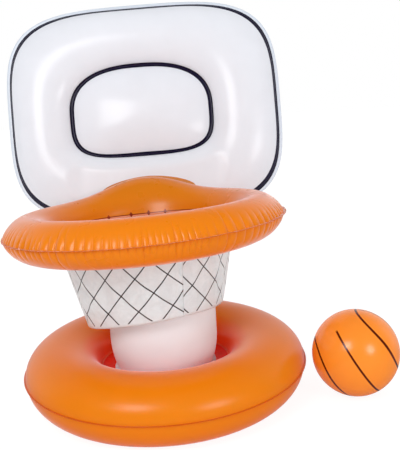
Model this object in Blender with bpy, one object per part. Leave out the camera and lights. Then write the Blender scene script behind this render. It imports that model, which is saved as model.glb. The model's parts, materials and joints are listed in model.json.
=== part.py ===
"""Floating basketball hoop: inflated base ring, column, hoop ring and backboard, a net skirt and a ball.

Every air chamber is made of separate thin vinyl skins whose weld flanges lie face to face. Each chamber has
a soft push-in valve: a flange on the skin, a stem that pulls out, a plug on a strap and an inner check flap.
Metres, +Z up. The hoop opens upwards, the backboard stands at +Y and the ball at +X.
"""

from math import asin, cos, exp, pi, radians, sin, tan

import bmesh
import bpy
from mathutils import Matrix, Vector

for old in list(bpy.data.objects):
    bpy.data.objects.remove(old, do_unlink=True)

# Sheet material and fits: a film lies straight WELD_LEAD before a weld and ends WELD_END short of its root
VINYL = 0.0004
FILM = 0.0003
GAP = 0.0003
LAYER = VINYL + GAP
WELD_LEAD = 0.002
WELD_END = 0.001
SEGMENTS = 36
SHARP_EDGE = radians(35)

# Base ring
BASE_OUTER_RADIUS = 0.360
BASE_TUBE_WIDTH = 0.190
BASE_HEIGHT = 0.160
BASE_SEAM_HEIGHT = 0.0855
BASE_CONTACT_WIDTH = 0.040
BASE_OUTER_WELD = 0.0046
BASE_INNER_WELD = 0.006
WEB_SAG = 0.006

# Column
COLUMN_RADIUS = 0.1376
COLUMN_NECK_RADIUS = 0.122
COLUMN_SHOULDER = 0.080
COLUMN_WELD = 0.010
COLUMN_END_DOME = 0.012
COLUMN_TOP_BELOW_HOOP = 0.021

# Hoop ring, its lean on the soft column and the hump where it presses on the backboard
HOOP_HEIGHT = 0.459
HOOP_OUTER_RADIUS = 0.349
HOOP_TUBE_WIDTH = 0.122
HOOP_TUBE_HEIGHT = 0.107
HOOP_REAR_SLACK = 0.235
HOOP_OUTER_WELD = 0.0066
HOOP_INNER_WELD = 0.0065
HOOP_INNER_WELD_ANGLE = radians(22)
HOOP_INNER_WELD_DROP = radians(63)
HOOP_SHIFT = -0.029
HOOP_FRONT_RISE = radians(3.6)
HOOP_RIGHT_RISE = radians(2.2)
HUMP_LIFT = 0.018
HUMP_SWELL = 0.0237
HUMP_LEAN = 0.045
HUMP_HALF_WIDTH = 0.1195
HUMP_SHIFT = -0.0133
HUMP_SHARPNESS = 2.13
PRESS_DEPTH = 0.028
PRESS_ARC = 0.3
PRESSED_WELD = 0.001

# Net skirt
NET_BOTTOM_RADIUS = 0.1755
NET_BOTTOM_SHIFT = -0.0175
NET_BOTTOM_HEIGHT = 0.218
NET_RIGHT_RISE = 0.021
NET_FRONT_RISE = 0.034
NET_HEM_DROP = 0.004
NET_HEM_WELD = 0.006
NET_FOLDS = 7
NET_FOLD_DEPTH = 0.0025
NET_FOLD_FADE = 0.8
NET_TURN_IN = 0.35

# Backboard, measured to its outer weld
BOARD_WIDTH = 0.794
BOARD_HEIGHT = 0.618
BOARD_SQUARENESS = 3.82
BOARD_FLANGE = 0.011
BOARD_FRAME_DEPTH = 0.044
BOARD_FRAME_ROUNDNESS = 0.6
PILLOW_WIDTH = 0.419
PILLOW_HEIGHT = 0.261
PILLOW_SQUARENESS = 3.4
PILLOW_DEPTH = 0.036
PILLOW_ROUNDNESS = 0.7
PILLOW_WELD = 0.008
PILLOW_SHIFT = -0.009
BOARD_RISE = 0.275
BOARD_SIDE_SHIFT = 0.003
BOARD_LEAN = radians(10)
BOARD_ROLL = radians(0.9)
BOARD_CONTACT_DEPTH = 0.035
BOARD_CONTACT_HALF_WIDTH = 0.190
BOARD_CONTACT_CURVE = 4.0
BOARD_RAYS = 40

# Mounting patch between hoop ring and backboard
PATCH_HALF_WIDTH = 0.141
PATCH_HALF_HEIGHT = 0.041
PATCH_DROP = 0.018
PATCH_SIDE_SHIFT = -0.0034
PATCH_SQUARENESS = 1.7
PATCH_CORNERS = 24

# Ball
BALL_RADIUS = 0.1085
BALL_CLEARANCE = 0.0155
BALL_BEARING = radians(-9.2)
BALL_SEGMENTS = 20
BALL_BANDS = 10

# Push-in valve, the same on every chamber
VALVE_SEGMENTS = 16
FLANGE_RADIUS = 0.0110
FLANGE_THICKNESS = 0.0010
RIM_CHAMFER = 0.0005
COLLAR_DEPTH = 0.004
COLLAR_WALL = 0.0013
STEM_RADIUS = 0.0060
STEM_CLEARANCE = 0.0005
STEM_BORE = 0.0041
STEM_DEPTH = 0.014
LIP_RADIUS = 0.0084
LIP_THICKNESS = 0.0012
STRAP_REACH = 0.0120
STRAP_WIDTH = 0.005
STRAP_THICKNESS = 0.0012
STRAP_END = 0.0006
HEAD_RADIUS = 0.0072
HEAD_THICKNESS = 0.0016
PULL_TAB = 0.003
PIN_LENGTH = 0.005
PIN_ROOT_RADIUS = 0.0038
PIN_TIP_RADIUS = 0.0027
FLAP_RADIUS = 0.0048
FLAP_TAB_WIDTH = 0.0032
FLAP_THICKNESS = 0.0008
FLAP_END = 0.0005
SKIN_HOLE_CLEARANCE = 0.0004
SKIN_HOLE_ABOVE = 0.002
SKIN_HOLE_BELOW = 0.004


# Materials

def vinyl(name, colour, roughness, alpha=1.0):
    material = bpy.data.materials.new(name)
    material.use_nodes = True
    shader = material.node_tree.nodes["Principled BSDF"]
    shader.inputs["Base Color"].default_value = (*colour, 1.0)
    shader.inputs["Roughness"].default_value = roughness
    shader.inputs["Metallic"].default_value = 0.0
    shader.inputs["Alpha"].default_value = alpha
    return material


ORANGE = vinyl("orange_vinyl", (0.85, 0.22, 0.02), 0.25)
HOOP_ORANGE = vinyl("hoop_orange_vinyl", (0.82, 0.20, 0.02), 0.25)
PATCH_ORANGE = vinyl("patch_orange_vinyl", (0.70, 0.16, 0.02), 0.35)
COLUMN_WHITE = vinyl("column_white_vinyl", (0.85, 0.76, 0.77), 0.35)
BOARD_WHITE = vinyl("board_white_vinyl", (0.86, 0.85, 0.88), 0.2)
NET_FILM = vinyl("net_film", (0.85, 0.85, 0.86), 0.3, 0.5)
WEB_FILM = vinyl("web_film", (0.86, 0.30, 0.06), 0.3, 0.8)
BALL_ORANGE = vinyl("ball_orange_vinyl", (0.87, 0.25, 0.06), 0.25)
VALVE_CLEAR = vinyl("valve_soft_vinyl", (0.80, 0.80, 0.78), 0.4, 0.8)


# Objects and frames

def empty(name, parent=None, matrix=Matrix.Identity(4)):
    thing = bpy.data.objects.new(name, None)
    thing.empty_display_size = 0.02
    bpy.context.scene.collection.objects.link(thing)
    thing.parent = parent
    thing.matrix_local = matrix
    return thing


def mesh_object(name, mesh, material, parent, matrix=Matrix.Identity(4)):
    thing = bpy.data.objects.new(name, mesh)
    bpy.context.scene.collection.objects.link(thing)
    thing.parent = parent
    thing.matrix_local = matrix
    if material and not mesh.materials:
        mesh.materials.append(material)
    return thing


def solid_mesh(name, points, faces, faces_point_out=False):
    """A closed mesh with doubled points joined, its faces turned outwards unless they already are."""
    shape = bmesh.new()
    corners = [shape.verts.new(point) for point in points]
    for face in faces:
        shape.faces.new([corners[index] for index in face])
    bmesh.ops.remove_doubles(shape, verts=shape.verts, dist=1e-6)
    if not faces_point_out:
        bmesh.ops.recalc_face_normals(shape, faces=shape.faces)
    mesh = bpy.data.meshes.new(name)
    shape.to_mesh(mesh)
    shape.free()
    mesh.shade_smooth()
    mesh.set_sharp_from_angle(angle=SHARP_EDGE)
    return mesh


def around_z(angle):
    return Vector((-sin(angle), cos(angle), 0.0))


def around_y(angle):
    return Vector((-sin(angle), 0.0, cos(angle)))


def angles(count):
    return [2 * pi * index / count for index in range(count)]


class Sheet:
    """A thin sheet swept through rows of points, each row a closed loop around an axis.

    The outer side is the one on the left of the rows as they run on, seen along the loop. A row whose points
    all meet is a pole.
    """

    def __init__(self, name, rows, thickness, material, parent, around=around_z):
        count = len(rows[0])
        turns = [around(angle) for angle in angles(count)]
        self.outer = []
        inner = []
        for k, row in enumerate(rows):
            before = rows[max(k - 1, 0)]
            after = rows[min(k + 1, len(rows) - 1)]
            outer_row, inner_row = [], []
            for j, point in enumerate(row):
                lead = (point - before[j]) if k else (after[j] - point)
                trail = (after[j] - point) if k < len(rows) - 1 else (point - before[j])
                first = lead.normalized().cross(turns[j]).normalized()
                second = trail.normalized().cross(turns[j]).normalized()
                miter = (first + second) / (1 + first.dot(second))
                outer_row.append(point + miter * thickness / 2)
                inner_row.append(point - miter * thickness / 2)
            if (row[0] - row[count // 2]).length < 1e-6:
                outer_row = [sum(outer_row, Vector()) / count] * count
                inner_row = [sum(inner_row, Vector()) / count] * count
            self.outer.append(outer_row)
            inner.append(inner_row)
        loop = self.outer + inner[::-1]
        points = [point for row in loop for point in row]
        middle = [point for row in list(rows) + list(rows)[::-1] for point in row]
        faces = []
        for k in range(len(loop)):
            following = (k + 1) % len(loop)
            for j in range(count):
                beside = (j + 1) % count
                face = (k * count + j, k * count + beside, following * count + beside, following * count + j)
                if not self.folded(points, face):
                    faces += self.halves(middle, face)
        self.object = mesh_object(name, solid_mesh(name, points, faces, True), material, parent)

    @staticmethod
    def halves(middle, face):
        """The quad as two triangles facing out, cut where the sheet's middle has its shorter diagonal."""
        a, b, c, d = face
        if (middle[a] - middle[c]).length < (middle[b] - middle[d]).length:
            return [(a, c, b), (a, d, c)]
        return [(a, d, b), (b, d, c)]

    @staticmethod
    def folded(points, face):
        """True where a quad has shrunk to a line, as between two rows that meet on the axis."""
        first = (points[face[0]] - points[face[1]]).length
        second = (points[face[2]] - points[face[3]]).length
        return first < 1e-6 and second < 1e-6

    def facet(self, row, index, turn=0.0):
        """The frame of one flat facet of the outer side, with its normal as +Z, turned about that normal."""
        beside = (index + 1) % len(self.outer[row])
        corners = [self.outer[row][index], self.outer[row][beside]]
        corners += [self.outer[row + 1][beside], self.outer[row + 1][index]]
        centre = sum(corners, Vector()) / 4
        normal = (corners[2] - corners[0]).cross(corners[3] - corners[1]).normalized()
        if normal.dot(corners[0] - self.inside(row, index)) < 0:
            normal.negate()
        along = (corners[1] - corners[0]).normalized()
        across = normal.cross(along).normalized()
        along = across.cross(normal)
        frame = Matrix((along, across, normal)).transposed().to_4x4()
        return Matrix.Translation(centre) @ frame @ Matrix.Rotation(turn, 4, "Z")

    def inside(self, row, index):
        """A point on the chamber's side of the sheet: the mean of the whole cross-section there."""
        section = [points[index] for points in self.outer]
        return sum(section, Vector()) / len(section)


def ring_point(angle, radius, height):
    return Vector((radius * cos(angle), radius * sin(angle), height))


def ring_row(radius, height, count=SEGMENTS):
    return [ring_point(angle, radius, height) for angle in angles(count)]


set_frame = empty("set_frame")


# Base ring

base_tube_radius = BASE_TUBE_WIDTH / 2
base_middle = BASE_OUTER_RADIUS - base_tube_radius
base_inner_radius = BASE_OUTER_RADIUS - BASE_TUBE_WIDTH
base_crown = BASE_HEIGHT - VINYL / 2 - BASE_SEAM_HEIGHT
contact_angle = asin(BASE_CONTACT_WIDTH / BASE_TUBE_WIDTH)
base_belly = (BASE_SEAM_HEIGHT - VINYL / 2) / cos(contact_angle)


def base_upper_rows():
    """From the inner weld over the crown to the outer weld."""
    inner = BASE_SEAM_HEIGHT + LAYER
    outer = BASE_SEAM_HEIGHT + LAYER / 2
    rows = [ring_row(base_inner_radius - BASE_INNER_WELD, inner)]
    for step in range(7):
        turn = pi - pi * step / 6
        foot = inner if step < 4 else outer
        rise = (base_crown - (inner - BASE_SEAM_HEIGHT)) * sin(turn)
        rows.append(ring_row(base_middle + base_tube_radius * cos(turn), foot + rise))
    rows.append(ring_row(BASE_OUTER_RADIUS + BASE_OUTER_WELD, outer))
    return rows


def base_lower_rows():
    """From the outer weld under the flat contact band to the inner weld."""
    inner = BASE_SEAM_HEIGHT - LAYER
    outer = BASE_SEAM_HEIGHT - LAYER / 2
    rows = [ring_row(BASE_OUTER_RADIUS + BASE_OUTER_WELD, outer), ring_row(BASE_OUTER_RADIUS, outer)]
    quarter = pi / 2 - contact_angle
    for side in (1, -1):
        for step in (1, 2, 3) if side > 0 else (3, 2, 1):
            turn = quarter * step / 3
            height = BASE_SEAM_HEIGHT - base_belly * sin(turn)
            rows.append(ring_row(base_middle + side * base_tube_radius * cos(turn), height))
    rows.append(ring_row(base_inner_radius, inner))
    rows.append(ring_row(base_inner_radius - BASE_INNER_WELD, inner))
    return rows


base_upper = Sheet("base_ring_upper_skin", base_upper_rows(), VINYL, ORANGE, set_frame)
base_lower = Sheet("base_ring_lower_skin", base_lower_rows(), VINYL, ORANGE, set_frame)


# Column, its bottom disc and the web that carries it in the base ring

column_bottom = BASE_SEAM_HEIGHT - WEB_SAG + 2 * LAYER
column_top = HOOP_HEIGHT - COLUMN_TOP_BELOW_HOOP
column_flange_radius = COLUMN_NECK_RADIUS + COLUMN_WELD


def column_shoulder_radius(share):
    """The column's radius at a share of the way from its weld to its full width."""
    return COLUMN_NECK_RADIUS + (COLUMN_RADIUS - COLUMN_NECK_RADIUS) * (1 - (1 - share) ** 2)


def column_rows():
    """From the top weld down to the bottom weld."""
    shares = (0.4, 1.0)
    rows = [ring_row(column_flange_radius, column_top), ring_row(COLUMN_NECK_RADIUS, column_top)]
    for share in shares:
        rows.append(ring_row(column_shoulder_radius(share), column_top - COLUMN_SHOULDER * share))
    rows += [
        ring_row(column_shoulder_radius(share), column_bottom + COLUMN_SHOULDER * share)
        for share in shares[::-1]
    ]
    rows += [ring_row(COLUMN_NECK_RADIUS, column_bottom), ring_row(column_flange_radius, column_bottom)]
    return rows


def dome(radius):
    """How far a round end sheet bulges at a radius."""
    return COLUMN_END_DOME * max(0.0, 1 - (radius / COLUMN_NECK_RADIUS) ** 2)


def disc_rows(height, outward):
    """A bulging disc out to the column's weld flange."""
    radii = (0.0, COLUMN_NECK_RADIUS * 0.55, COLUMN_NECK_RADIUS - WELD_END, column_flange_radius)
    return [ring_row(radius, height + outward * dome(radius)) for radius in radii]


web_rows = disc_rows(column_bottom - 2 * LAYER, -1)
web_rows.append(ring_row(base_inner_radius - BASE_INNER_WELD - WELD_LEAD, BASE_SEAM_HEIGHT))
web_rows.append(ring_row(base_inner_radius - WELD_END, BASE_SEAM_HEIGHT))

column_wall = Sheet("column_wall", column_rows(), VINYL, COLUMN_WHITE, set_frame)
Sheet("column_bottom_disc", disc_rows(column_bottom - LAYER, -1), VINYL, COLUMN_WHITE, set_frame)
Sheet("base_floor_web", web_rows, FILM, WEB_FILM, set_frame)


# Hoop ring, in its own leaning frame

hoop_pose = Matrix.Translation((HOOP_SHIFT, 0.0, HOOP_HEIGHT))
hoop_pose = hoop_pose @ Matrix.Rotation(-HOOP_RIGHT_RISE, 4, "Y") @ Matrix.Rotation(-HOOP_FRONT_RISE, 4, "X")
hoop_frame = empty("hoop_frame", set_frame, hoop_pose)
hoop_tube_radius = HOOP_TUBE_WIDTH / 2
hoop_middle = HOOP_OUTER_RADIUS - hoop_tube_radius
weld_run = Vector((-cos(HOOP_INNER_WELD_DROP), -sin(HOOP_INNER_WELD_DROP)))
weld_side = Vector((-sin(HOOP_INNER_WELD_DROP), cos(HOOP_INNER_WELD_DROP)))
contact_offset = BOARD_CONTACT_DEPTH + VINYL / 2 + LAYER + GAP + LAYER / 2
board_behind = (
    HOOP_OUTER_RADIUS - PRESS_DEPTH + contact_offset / cos(BOARD_LEAN) + BOARD_RISE * tan(BOARD_LEAN)
)


def hump(angle):
    """1 at the middle of the ring's rear, where it presses on the backboard, falling to 0 on both sides."""
    if sin(angle) <= 0:
        return 0.0
    beside = abs(hoop_middle * cos(angle) - HUMP_SHIFT)
    return exp(-((beside / HUMP_HALF_WIDTH) ** HUMP_SHARPNESS))


def hump_lean(turn):
    """How far back the hump leans at a point of the cross-section: most on top, and not at the welds."""
    if turn < 0:
        return 0.0
    foot = sin(HOOP_INNER_WELD_ANGLE) if turn > pi / 2 else 0.0
    return HUMP_LEAN * (sin(turn) + foot) / (1 + foot)


def press_radius(angle, height):
    """How far out the ring may reach before it meets the leaning backboard's frame."""
    if sin(angle) < PRESS_ARC:
        return 2 * HOOP_OUTER_RADIUS
    plane = board_behind - contact_offset / cos(BOARD_LEAN) - (BOARD_RISE - height) * tan(BOARD_LEAN)
    return plane / sin(angle)


def hoop_section(angle, turn, layer=0.0):
    """A point of the ring's cross-section as (radius, height): turn 0 is the outer side and pi/2 the top."""
    slack = HOOP_REAR_SLACK * (1 + sin(angle)) / 2 if sin(turn) > 0 else 0.0
    half_height = HOOP_TUBE_HEIGHT / 2 * (1 - slack) + HUMP_SWELL * hump(angle)
    height = HUMP_LIFT * hump(angle) + half_height * sin(turn) + layer
    radius = hoop_middle + hoop_tube_radius * cos(turn) + hump_lean(turn) * hump(angle)
    return Vector((min(radius, press_radius(angle, height) - PRESSED_WELD), height))


def hoop_outer_weld(angle, layer):
    height = HUMP_LIFT * hump(angle) + layer
    return Vector((min(HOOP_OUTER_RADIUS + HOOP_OUTER_WELD, press_radius(angle, height)), height))


def hoop_inner_weld(angle, layer, along):
    """A point in the inner weld, which holds the ring's two skins, the hoop floor and the net."""
    root = hoop_section(angle, pi + HOOP_INNER_WELD_ANGLE)
    return root + weld_run * along + weld_side * layer * LAYER


def hoop_row(section, *inputs):
    row = []
    for angle in angles(SEGMENTS):
        radius, height = section(angle, *inputs)
        row.append(ring_point(angle, radius, height))
    return row


def hoop_upper_rows():
    """From the inner weld over the top to the outer weld."""
    rows = [hoop_row(hoop_inner_weld, 1.5, HOOP_INNER_WELD), hoop_row(hoop_inner_weld, 1.5, 0.0)]
    rows += [hoop_row(hoop_section, radians(turn), LAYER / 2) for turn in (174, 138, 102, 66, 32, 0)]
    rows.append(hoop_row(hoop_outer_weld, LAYER / 2))
    return rows


def hoop_lower_rows():
    """From the outer weld under the ring to the inner weld."""
    rows = [hoop_row(hoop_outer_weld, -LAYER / 2)]
    rows += [hoop_row(hoop_section, radians(turn), -LAYER / 2) for turn in (0, -32, -66, -100, -132)]
    rows += [hoop_row(hoop_inner_weld, -1.5, 0.0), hoop_row(hoop_inner_weld, -1.5, HOOP_INNER_WELD)]
    return rows


hoop_upper = Sheet("hoop_ring_upper_skin", hoop_upper_rows(), VINYL, HOOP_ORANGE, hoop_frame)
hoop_lower = Sheet("hoop_ring_lower_skin", hoop_lower_rows(), VINYL, HOOP_ORANGE, hoop_frame)


# Hoop floor: one sheet that closes the column's top and carries the ring by its inner weld

def weld_row(layer, along):
    """A row inside the ring's inner weld, in the set's frame."""
    return [hoop_pose @ point for point in hoop_row(hoop_inner_weld, layer, along)]


floor_rows = disc_rows(column_top + LAYER, 1)
floor_rows.append(weld_row(0.5, HOOP_INNER_WELD + WELD_LEAD))
floor_rows.append(weld_row(0.5, WELD_END))
Sheet("hoop_floor", floor_rows, FILM, NET_FILM, set_frame)


# Net skirt, from the ring's inner weld down to a hem on the column

def net_bottom(angle):
    """The skirt's lower edge, before it turns in to the column."""
    height = NET_BOTTOM_HEIGHT + NET_RIGHT_RISE * cos(angle) - NET_FRONT_RISE * sin(angle)
    return ring_point(angle, NET_BOTTOM_RADIUS, height) + Vector((NET_BOTTOM_SHIFT, 0.0, 0.0))


def net_rows():
    top = weld_row(-0.5, HOOP_INNER_WELD + WELD_LEAD)
    hem_radius = COLUMN_RADIUS + VINYL / 2 + GAP + FILM / 2
    rows = [weld_row(-0.5, WELD_END), top]
    for share in (0.25, 0.5, 0.75, 1.0):
        row = []
        for angle, start in zip(angles(SEGMENTS), top):
            fold = NET_FOLD_DEPTH * sin(NET_FOLDS * angle) * sin(pi * share * NET_FOLD_FADE)
            row.append(start.lerp(net_bottom(angle), share) + ring_point(angle, fold, 0.0))
        rows.append(row)
    turned = []
    hem_top = []
    hem_end = []
    for angle in angles(SEGMENTS):
        corner = net_bottom(angle)
        seat = ring_point(angle, hem_radius, corner.z - NET_HEM_DROP)
        turned.append(corner.lerp(seat, NET_TURN_IN))
        hem_top.append(seat)
        hem_end.append(seat - Vector((0.0, 0.0, NET_HEM_WELD)))
    return rows + [turned, hem_top, hem_end]


Sheet("net_skirt", net_rows(), FILM, NET_FILM, set_frame)


# Backboard, in its own frame: x to the right, y backwards, z up

board_pose = Matrix.Translation((BOARD_SIDE_SHIFT, board_behind, BOARD_RISE))
board_pose = board_pose @ Matrix.Rotation(BOARD_ROLL, 4, "Y") @ Matrix.Rotation(-BOARD_LEAN, 4, "X")
board_frame = empty("board_frame", hoop_frame, board_pose)


def outline_radius(angle, width, height, squareness):
    """The distance from the middle of a rounded rectangle to its edge, along a ray."""
    across = abs(cos(angle)) / (width / 2)
    upwards = abs(sin(angle)) / (height / 2)
    return (across ** squareness + upwards ** squareness) ** (-1 / squareness)


def pillow_edge(angle, grow=0.0):
    reach = outline_radius(angle, PILLOW_WIDTH, PILLOW_HEIGHT, PILLOW_SQUARENESS) + grow
    return Vector((PILLOW_SHIFT + reach * cos(angle), 0.0, reach * sin(angle)))


def board_edge(angle, grow=0.0):
    reach = outline_radius(angle, BOARD_WIDTH, BOARD_HEIGHT, BOARD_SQUARENESS) + grow
    return Vector((reach * cos(angle), 0.0, reach * sin(angle)))


def contact_limit(point):
    """How deep the front may bulge at a point: it lies flat on the patch low down in the middle."""
    if point.z > 0:
        return BOARD_FRAME_DEPTH
    beside = max(0.0, abs(point.x) - BOARD_CONTACT_HALF_WIDTH)
    return BOARD_CONTACT_DEPTH + BOARD_CONTACT_CURVE * beside ** 2


def board_rows(front):
    """From the middle of the pillow over its weld and the frame to the flange."""
    side = -1 if front else 1
    rows = []
    for share in (0.0, 0.4, 0.7, 0.9):
        depth = PILLOW_DEPTH * (1 - share ** 2) ** PILLOW_ROUNDNESS
        centre = Vector((PILLOW_SHIFT, 0.0, 0.0))
        out = Vector((0.0, side * (LAYER / 2 + depth), 0.0))
        rows.append([
            centre.lerp(pillow_edge(angle, -PILLOW_WELD / 2), share) + out for angle in angles(BOARD_RAYS)
        ])
    for grow in (-PILLOW_WELD / 2, PILLOW_WELD / 2):
        rows.append([
            pillow_edge(angle, grow) + Vector((0.0, side * LAYER / 2, 0.0)) for angle in angles(BOARD_RAYS)
        ])
    for share in (0.08, 0.25, 0.5, 0.75, 0.92, 1.0):
        row = []
        for angle in angles(BOARD_RAYS):
            point = pillow_edge(angle, PILLOW_WELD / 2).lerp(board_edge(angle), share)
            depth = BOARD_FRAME_DEPTH * (1 - (2 * share - 1) ** 2) ** BOARD_FRAME_ROUNDNESS
            if front:
                depth = min(depth, contact_limit(point))
            row.append(point + Vector((0.0, side * (LAYER / 2 + depth), 0.0)))
        rows.append(row)
    rows.append([
        board_edge(angle, BOARD_FLANGE) + Vector((0.0, side * LAYER / 2, 0.0)) for angle in angles(BOARD_RAYS)
    ])
    return rows if front else rows[::-1]


Sheet("backboard_front_skin", board_rows(True), VINYL, BOARD_WHITE, board_frame, around_y)
board_rear = Sheet("backboard_rear_skin", board_rows(False), VINYL, BOARD_WHITE, board_frame, around_y)


# Mounting patch, flat on the backboard's front where the ring presses

def patch_rows():
    frame_middle = -(BOARD_HEIGHT + PILLOW_HEIGHT + PILLOW_WELD) / 4
    centre = Vector((PATCH_SIDE_SHIFT, -(LAYER / 2 + BOARD_CONTACT_DEPTH + LAYER), frame_middle - PATCH_DROP))
    edge = []
    for angle in angles(PATCH_CORNERS):
        reach = outline_radius(angle, 2 * PATCH_HALF_WIDTH, 2 * PATCH_HALF_HEIGHT, PATCH_SQUARENESS)
        edge.append(centre + Vector((reach * cos(angle), 0.0, reach * sin(angle))))
    return [[centre] * PATCH_CORNERS, edge]


Sheet("hoop_mounting_patch", patch_rows(), VINYL, PATCH_ORANGE, board_frame, around_y)


# Ball, standing on the floor beside the base

ball_distance = BASE_OUTER_RADIUS + BASE_OUTER_WELD + BALL_CLEARANCE + BALL_RADIUS
ball_place = Vector((ball_distance * cos(BALL_BEARING), ball_distance * sin(BALL_BEARING), BALL_RADIUS))
ball_frame = empty("ball_lift_axis", set_frame, Matrix.Translation(ball_place))


def ball_rows():
    """From the top pole down to the bottom pole."""
    rows = []
    reach = BALL_RADIUS - VINYL / 2
    for band in range(BALL_BANDS + 1):
        slope = pi * band / BALL_BANDS
        radius = 0.0 if band in (0, BALL_BANDS) else reach * sin(slope)
        rows.append(ring_row(radius, reach * cos(slope), BALL_SEGMENTS))
    return rows


ball_skin = Sheet("ball_skin", ball_rows(), VINYL, BALL_ORANGE, ball_frame)


# Valve pieces: z is up out of the skin, whose outer side is at z = 0, and the strap lies along +X

flange_top = GAP + FLANGE_THICKNESS
flange_bore = STEM_RADIUS + STEM_CLEARANCE
collar_radius = flange_bore + COLLAR_WALL
lip_bottom = flange_top + GAP
lip_top = lip_bottom + LIP_THICKNESS
plug_bottom = lip_top + GAP
hinge_height = plug_bottom + STRAP_THICKNESS / 2
flap_axis_x = FLAP_RADIUS + FLAP_END
flap_axis_z = -STEM_DEPTH - GAP - FLAP_THICKNESS / 2


def turned_mesh(name, outline):
    """A solid turned about z from a closed outline of (radius, height)."""
    rows = [ring_row(radius, height, VALVE_SEGMENTS) for radius, height in outline]
    points = [point for row in rows for point in row]
    count = VALVE_SEGMENTS
    faces = []
    for k in range(len(rows)):
        following = (k + 1) % len(rows)
        for j in range(count):
            beside = (j + 1) % count
            face = (k * count + j, k * count + beside, following * count + beside, following * count + j)
            if not Sheet.folded(points, face):
                faces.append(face)
    return solid_mesh(name, points, faces)


def box_mesh(name, low, high):
    xs, ys, zs = zip(low, high)
    points = [Vector((x, y, z)) for z in zs for y in ys for x in xs]
    faces = [(0, 1, 3, 2), (4, 5, 7, 6), (0, 1, 5, 4), (2, 3, 7, 6), (0, 2, 6, 4), (1, 3, 7, 5)]
    return solid_mesh(name, points, faces)


def joined_mesh(name, body, *additions):
    """One mesh made by a Boolean union of several."""
    base = mesh_object("joining", body, None, None)
    helpers = [base]
    for addition in additions:
        helper = mesh_object("joining", addition, None, None)
        helpers.append(helper)
        union = base.modifiers.new("union", "BOOLEAN")
        union.operation = "UNION"
        union.solver = "EXACT"
        union.object = helper
    graph = bpy.context.evaluated_depsgraph_get()
    mesh = bpy.data.meshes.new_from_object(base.evaluated_get(graph))
    mesh.name = name
    for helper in helpers:
        bpy.data.objects.remove(helper)
    mesh.shade_smooth()
    mesh.set_sharp_from_angle(angle=SHARP_EDGE)
    return mesh


def flange_shape():
    return turned_mesh("valve_flange", [
        (flange_bore, flange_top), (FLANGE_RADIUS - RIM_CHAMFER, flange_top), (FLANGE_RADIUS, GAP),
        (collar_radius, GAP), (collar_radius, -COLLAR_DEPTH), (flange_bore, -COLLAR_DEPTH),
    ])


def stem_shape():
    tube = turned_mesh("valve_stem", [
        (STEM_BORE, lip_top), (LIP_RADIUS, lip_top), (LIP_RADIUS, lip_bottom),
        (STEM_RADIUS, lip_bottom), (STEM_RADIUS, -STEM_DEPTH), (STEM_BORE, -STEM_DEPTH),
    ])
    half = STRAP_WIDTH / 2
    end = STRAP_REACH + STRAP_END
    lug = box_mesh("lug", (STEM_RADIUS, -half, lip_bottom), (end, half, lip_top))
    return joined_mesh("valve_stem", tube, lug)


def plug_shape():
    """Its origin is on the strap's hinge line."""
    button = turned_mesh("valve_plug", [
        (0.0, plug_bottom + HEAD_THICKNESS), (HEAD_RADIUS - RIM_CHAMFER, plug_bottom + HEAD_THICKNESS),
        (HEAD_RADIUS, plug_bottom), (PIN_ROOT_RADIUS, plug_bottom),
        (PIN_ROOT_RADIUS, lip_top), (PIN_TIP_RADIUS, lip_top - PIN_LENGTH), (0.0, lip_top - PIN_LENGTH),
    ])
    half = STRAP_WIDTH / 2
    top = plug_bottom + STRAP_THICKNESS
    strap = box_mesh("strap", (PIN_ROOT_RADIUS, -half, plug_bottom), (STRAP_REACH + STRAP_END, half, top))
    pull = box_mesh("pull", (-HEAD_RADIUS - PULL_TAB, -half, plug_bottom), (-PIN_ROOT_RADIUS, half, top))
    mesh = joined_mesh("valve_plug", button, strap, pull)
    mesh.transform(Matrix.Translation((-STRAP_REACH, 0.0, -hinge_height)))
    return mesh


def flap_shape():
    """Its origin is on the flap's hinge line, under the stem."""
    top = flap_axis_z + FLAP_THICKNESS / 2
    bottom = flap_axis_z - FLAP_THICKNESS / 2
    disc = turned_mesh("valve_flap", [(0.0, top), (FLAP_RADIUS, top), (FLAP_RADIUS, bottom), (0.0, bottom)])
    half = FLAP_TAB_WIDTH / 2
    tab = box_mesh("tab", (FLAP_RADIUS / 2, -half, bottom), (flap_axis_x + FLAP_END, half, top))
    mesh = joined_mesh("valve_flap", disc, tab)
    mesh.transform(Matrix.Translation((-flap_axis_x, 0.0, -flap_axis_z)))
    return mesh


valve_shapes = {"flange": flange_shape(), "stem": stem_shape(), "plug": plug_shape(), "flap": flap_shape()}


def fit_valve(chamber, skin, frame):
    """Cuts the skin's hole and sets the four valve pieces on it, the moving ones on their axes."""
    seat = empty(chamber + "_valve_axis", skin.parent, skin.matrix_local @ frame)
    hole = turned_mesh(chamber + "_valve_hole", [
        (0.0, SKIN_HOLE_ABOVE), (collar_radius + SKIN_HOLE_CLEARANCE, SKIN_HOLE_ABOVE),
        (collar_radius + SKIN_HOLE_CLEARANCE, -SKIN_HOLE_BELOW), (0.0, -SKIN_HOLE_BELOW),
    ])
    cutter = mesh_object(chamber + "_valve_hole", hole, None, seat)
    cutter.hide_render = True
    cutter.display_type = "WIRE"
    cut = skin.modifiers.new("valve_hole", "BOOLEAN")
    cut.operation = "DIFFERENCE"
    cut.solver = "EXACT"
    cut.object = cutter
    name = chamber + "_valve_"
    mesh_object(name + "flange", valve_shapes["flange"], VALVE_CLEAR, seat)
    stem = mesh_object(name + "stem", valve_shapes["stem"], VALVE_CLEAR, seat)
    plug_hinge = Matrix.Translation((STRAP_REACH, 0.0, hinge_height))
    mesh_object(name + "plug", valve_shapes["plug"], VALVE_CLEAR, stem, plug_hinge)
    flap_hinge = Matrix.Translation((flap_axis_x, 0.0, flap_axis_z))
    mesh_object(name + "flap", valve_shapes["flap"], VALVE_CLEAR, stem, flap_hinge)


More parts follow.
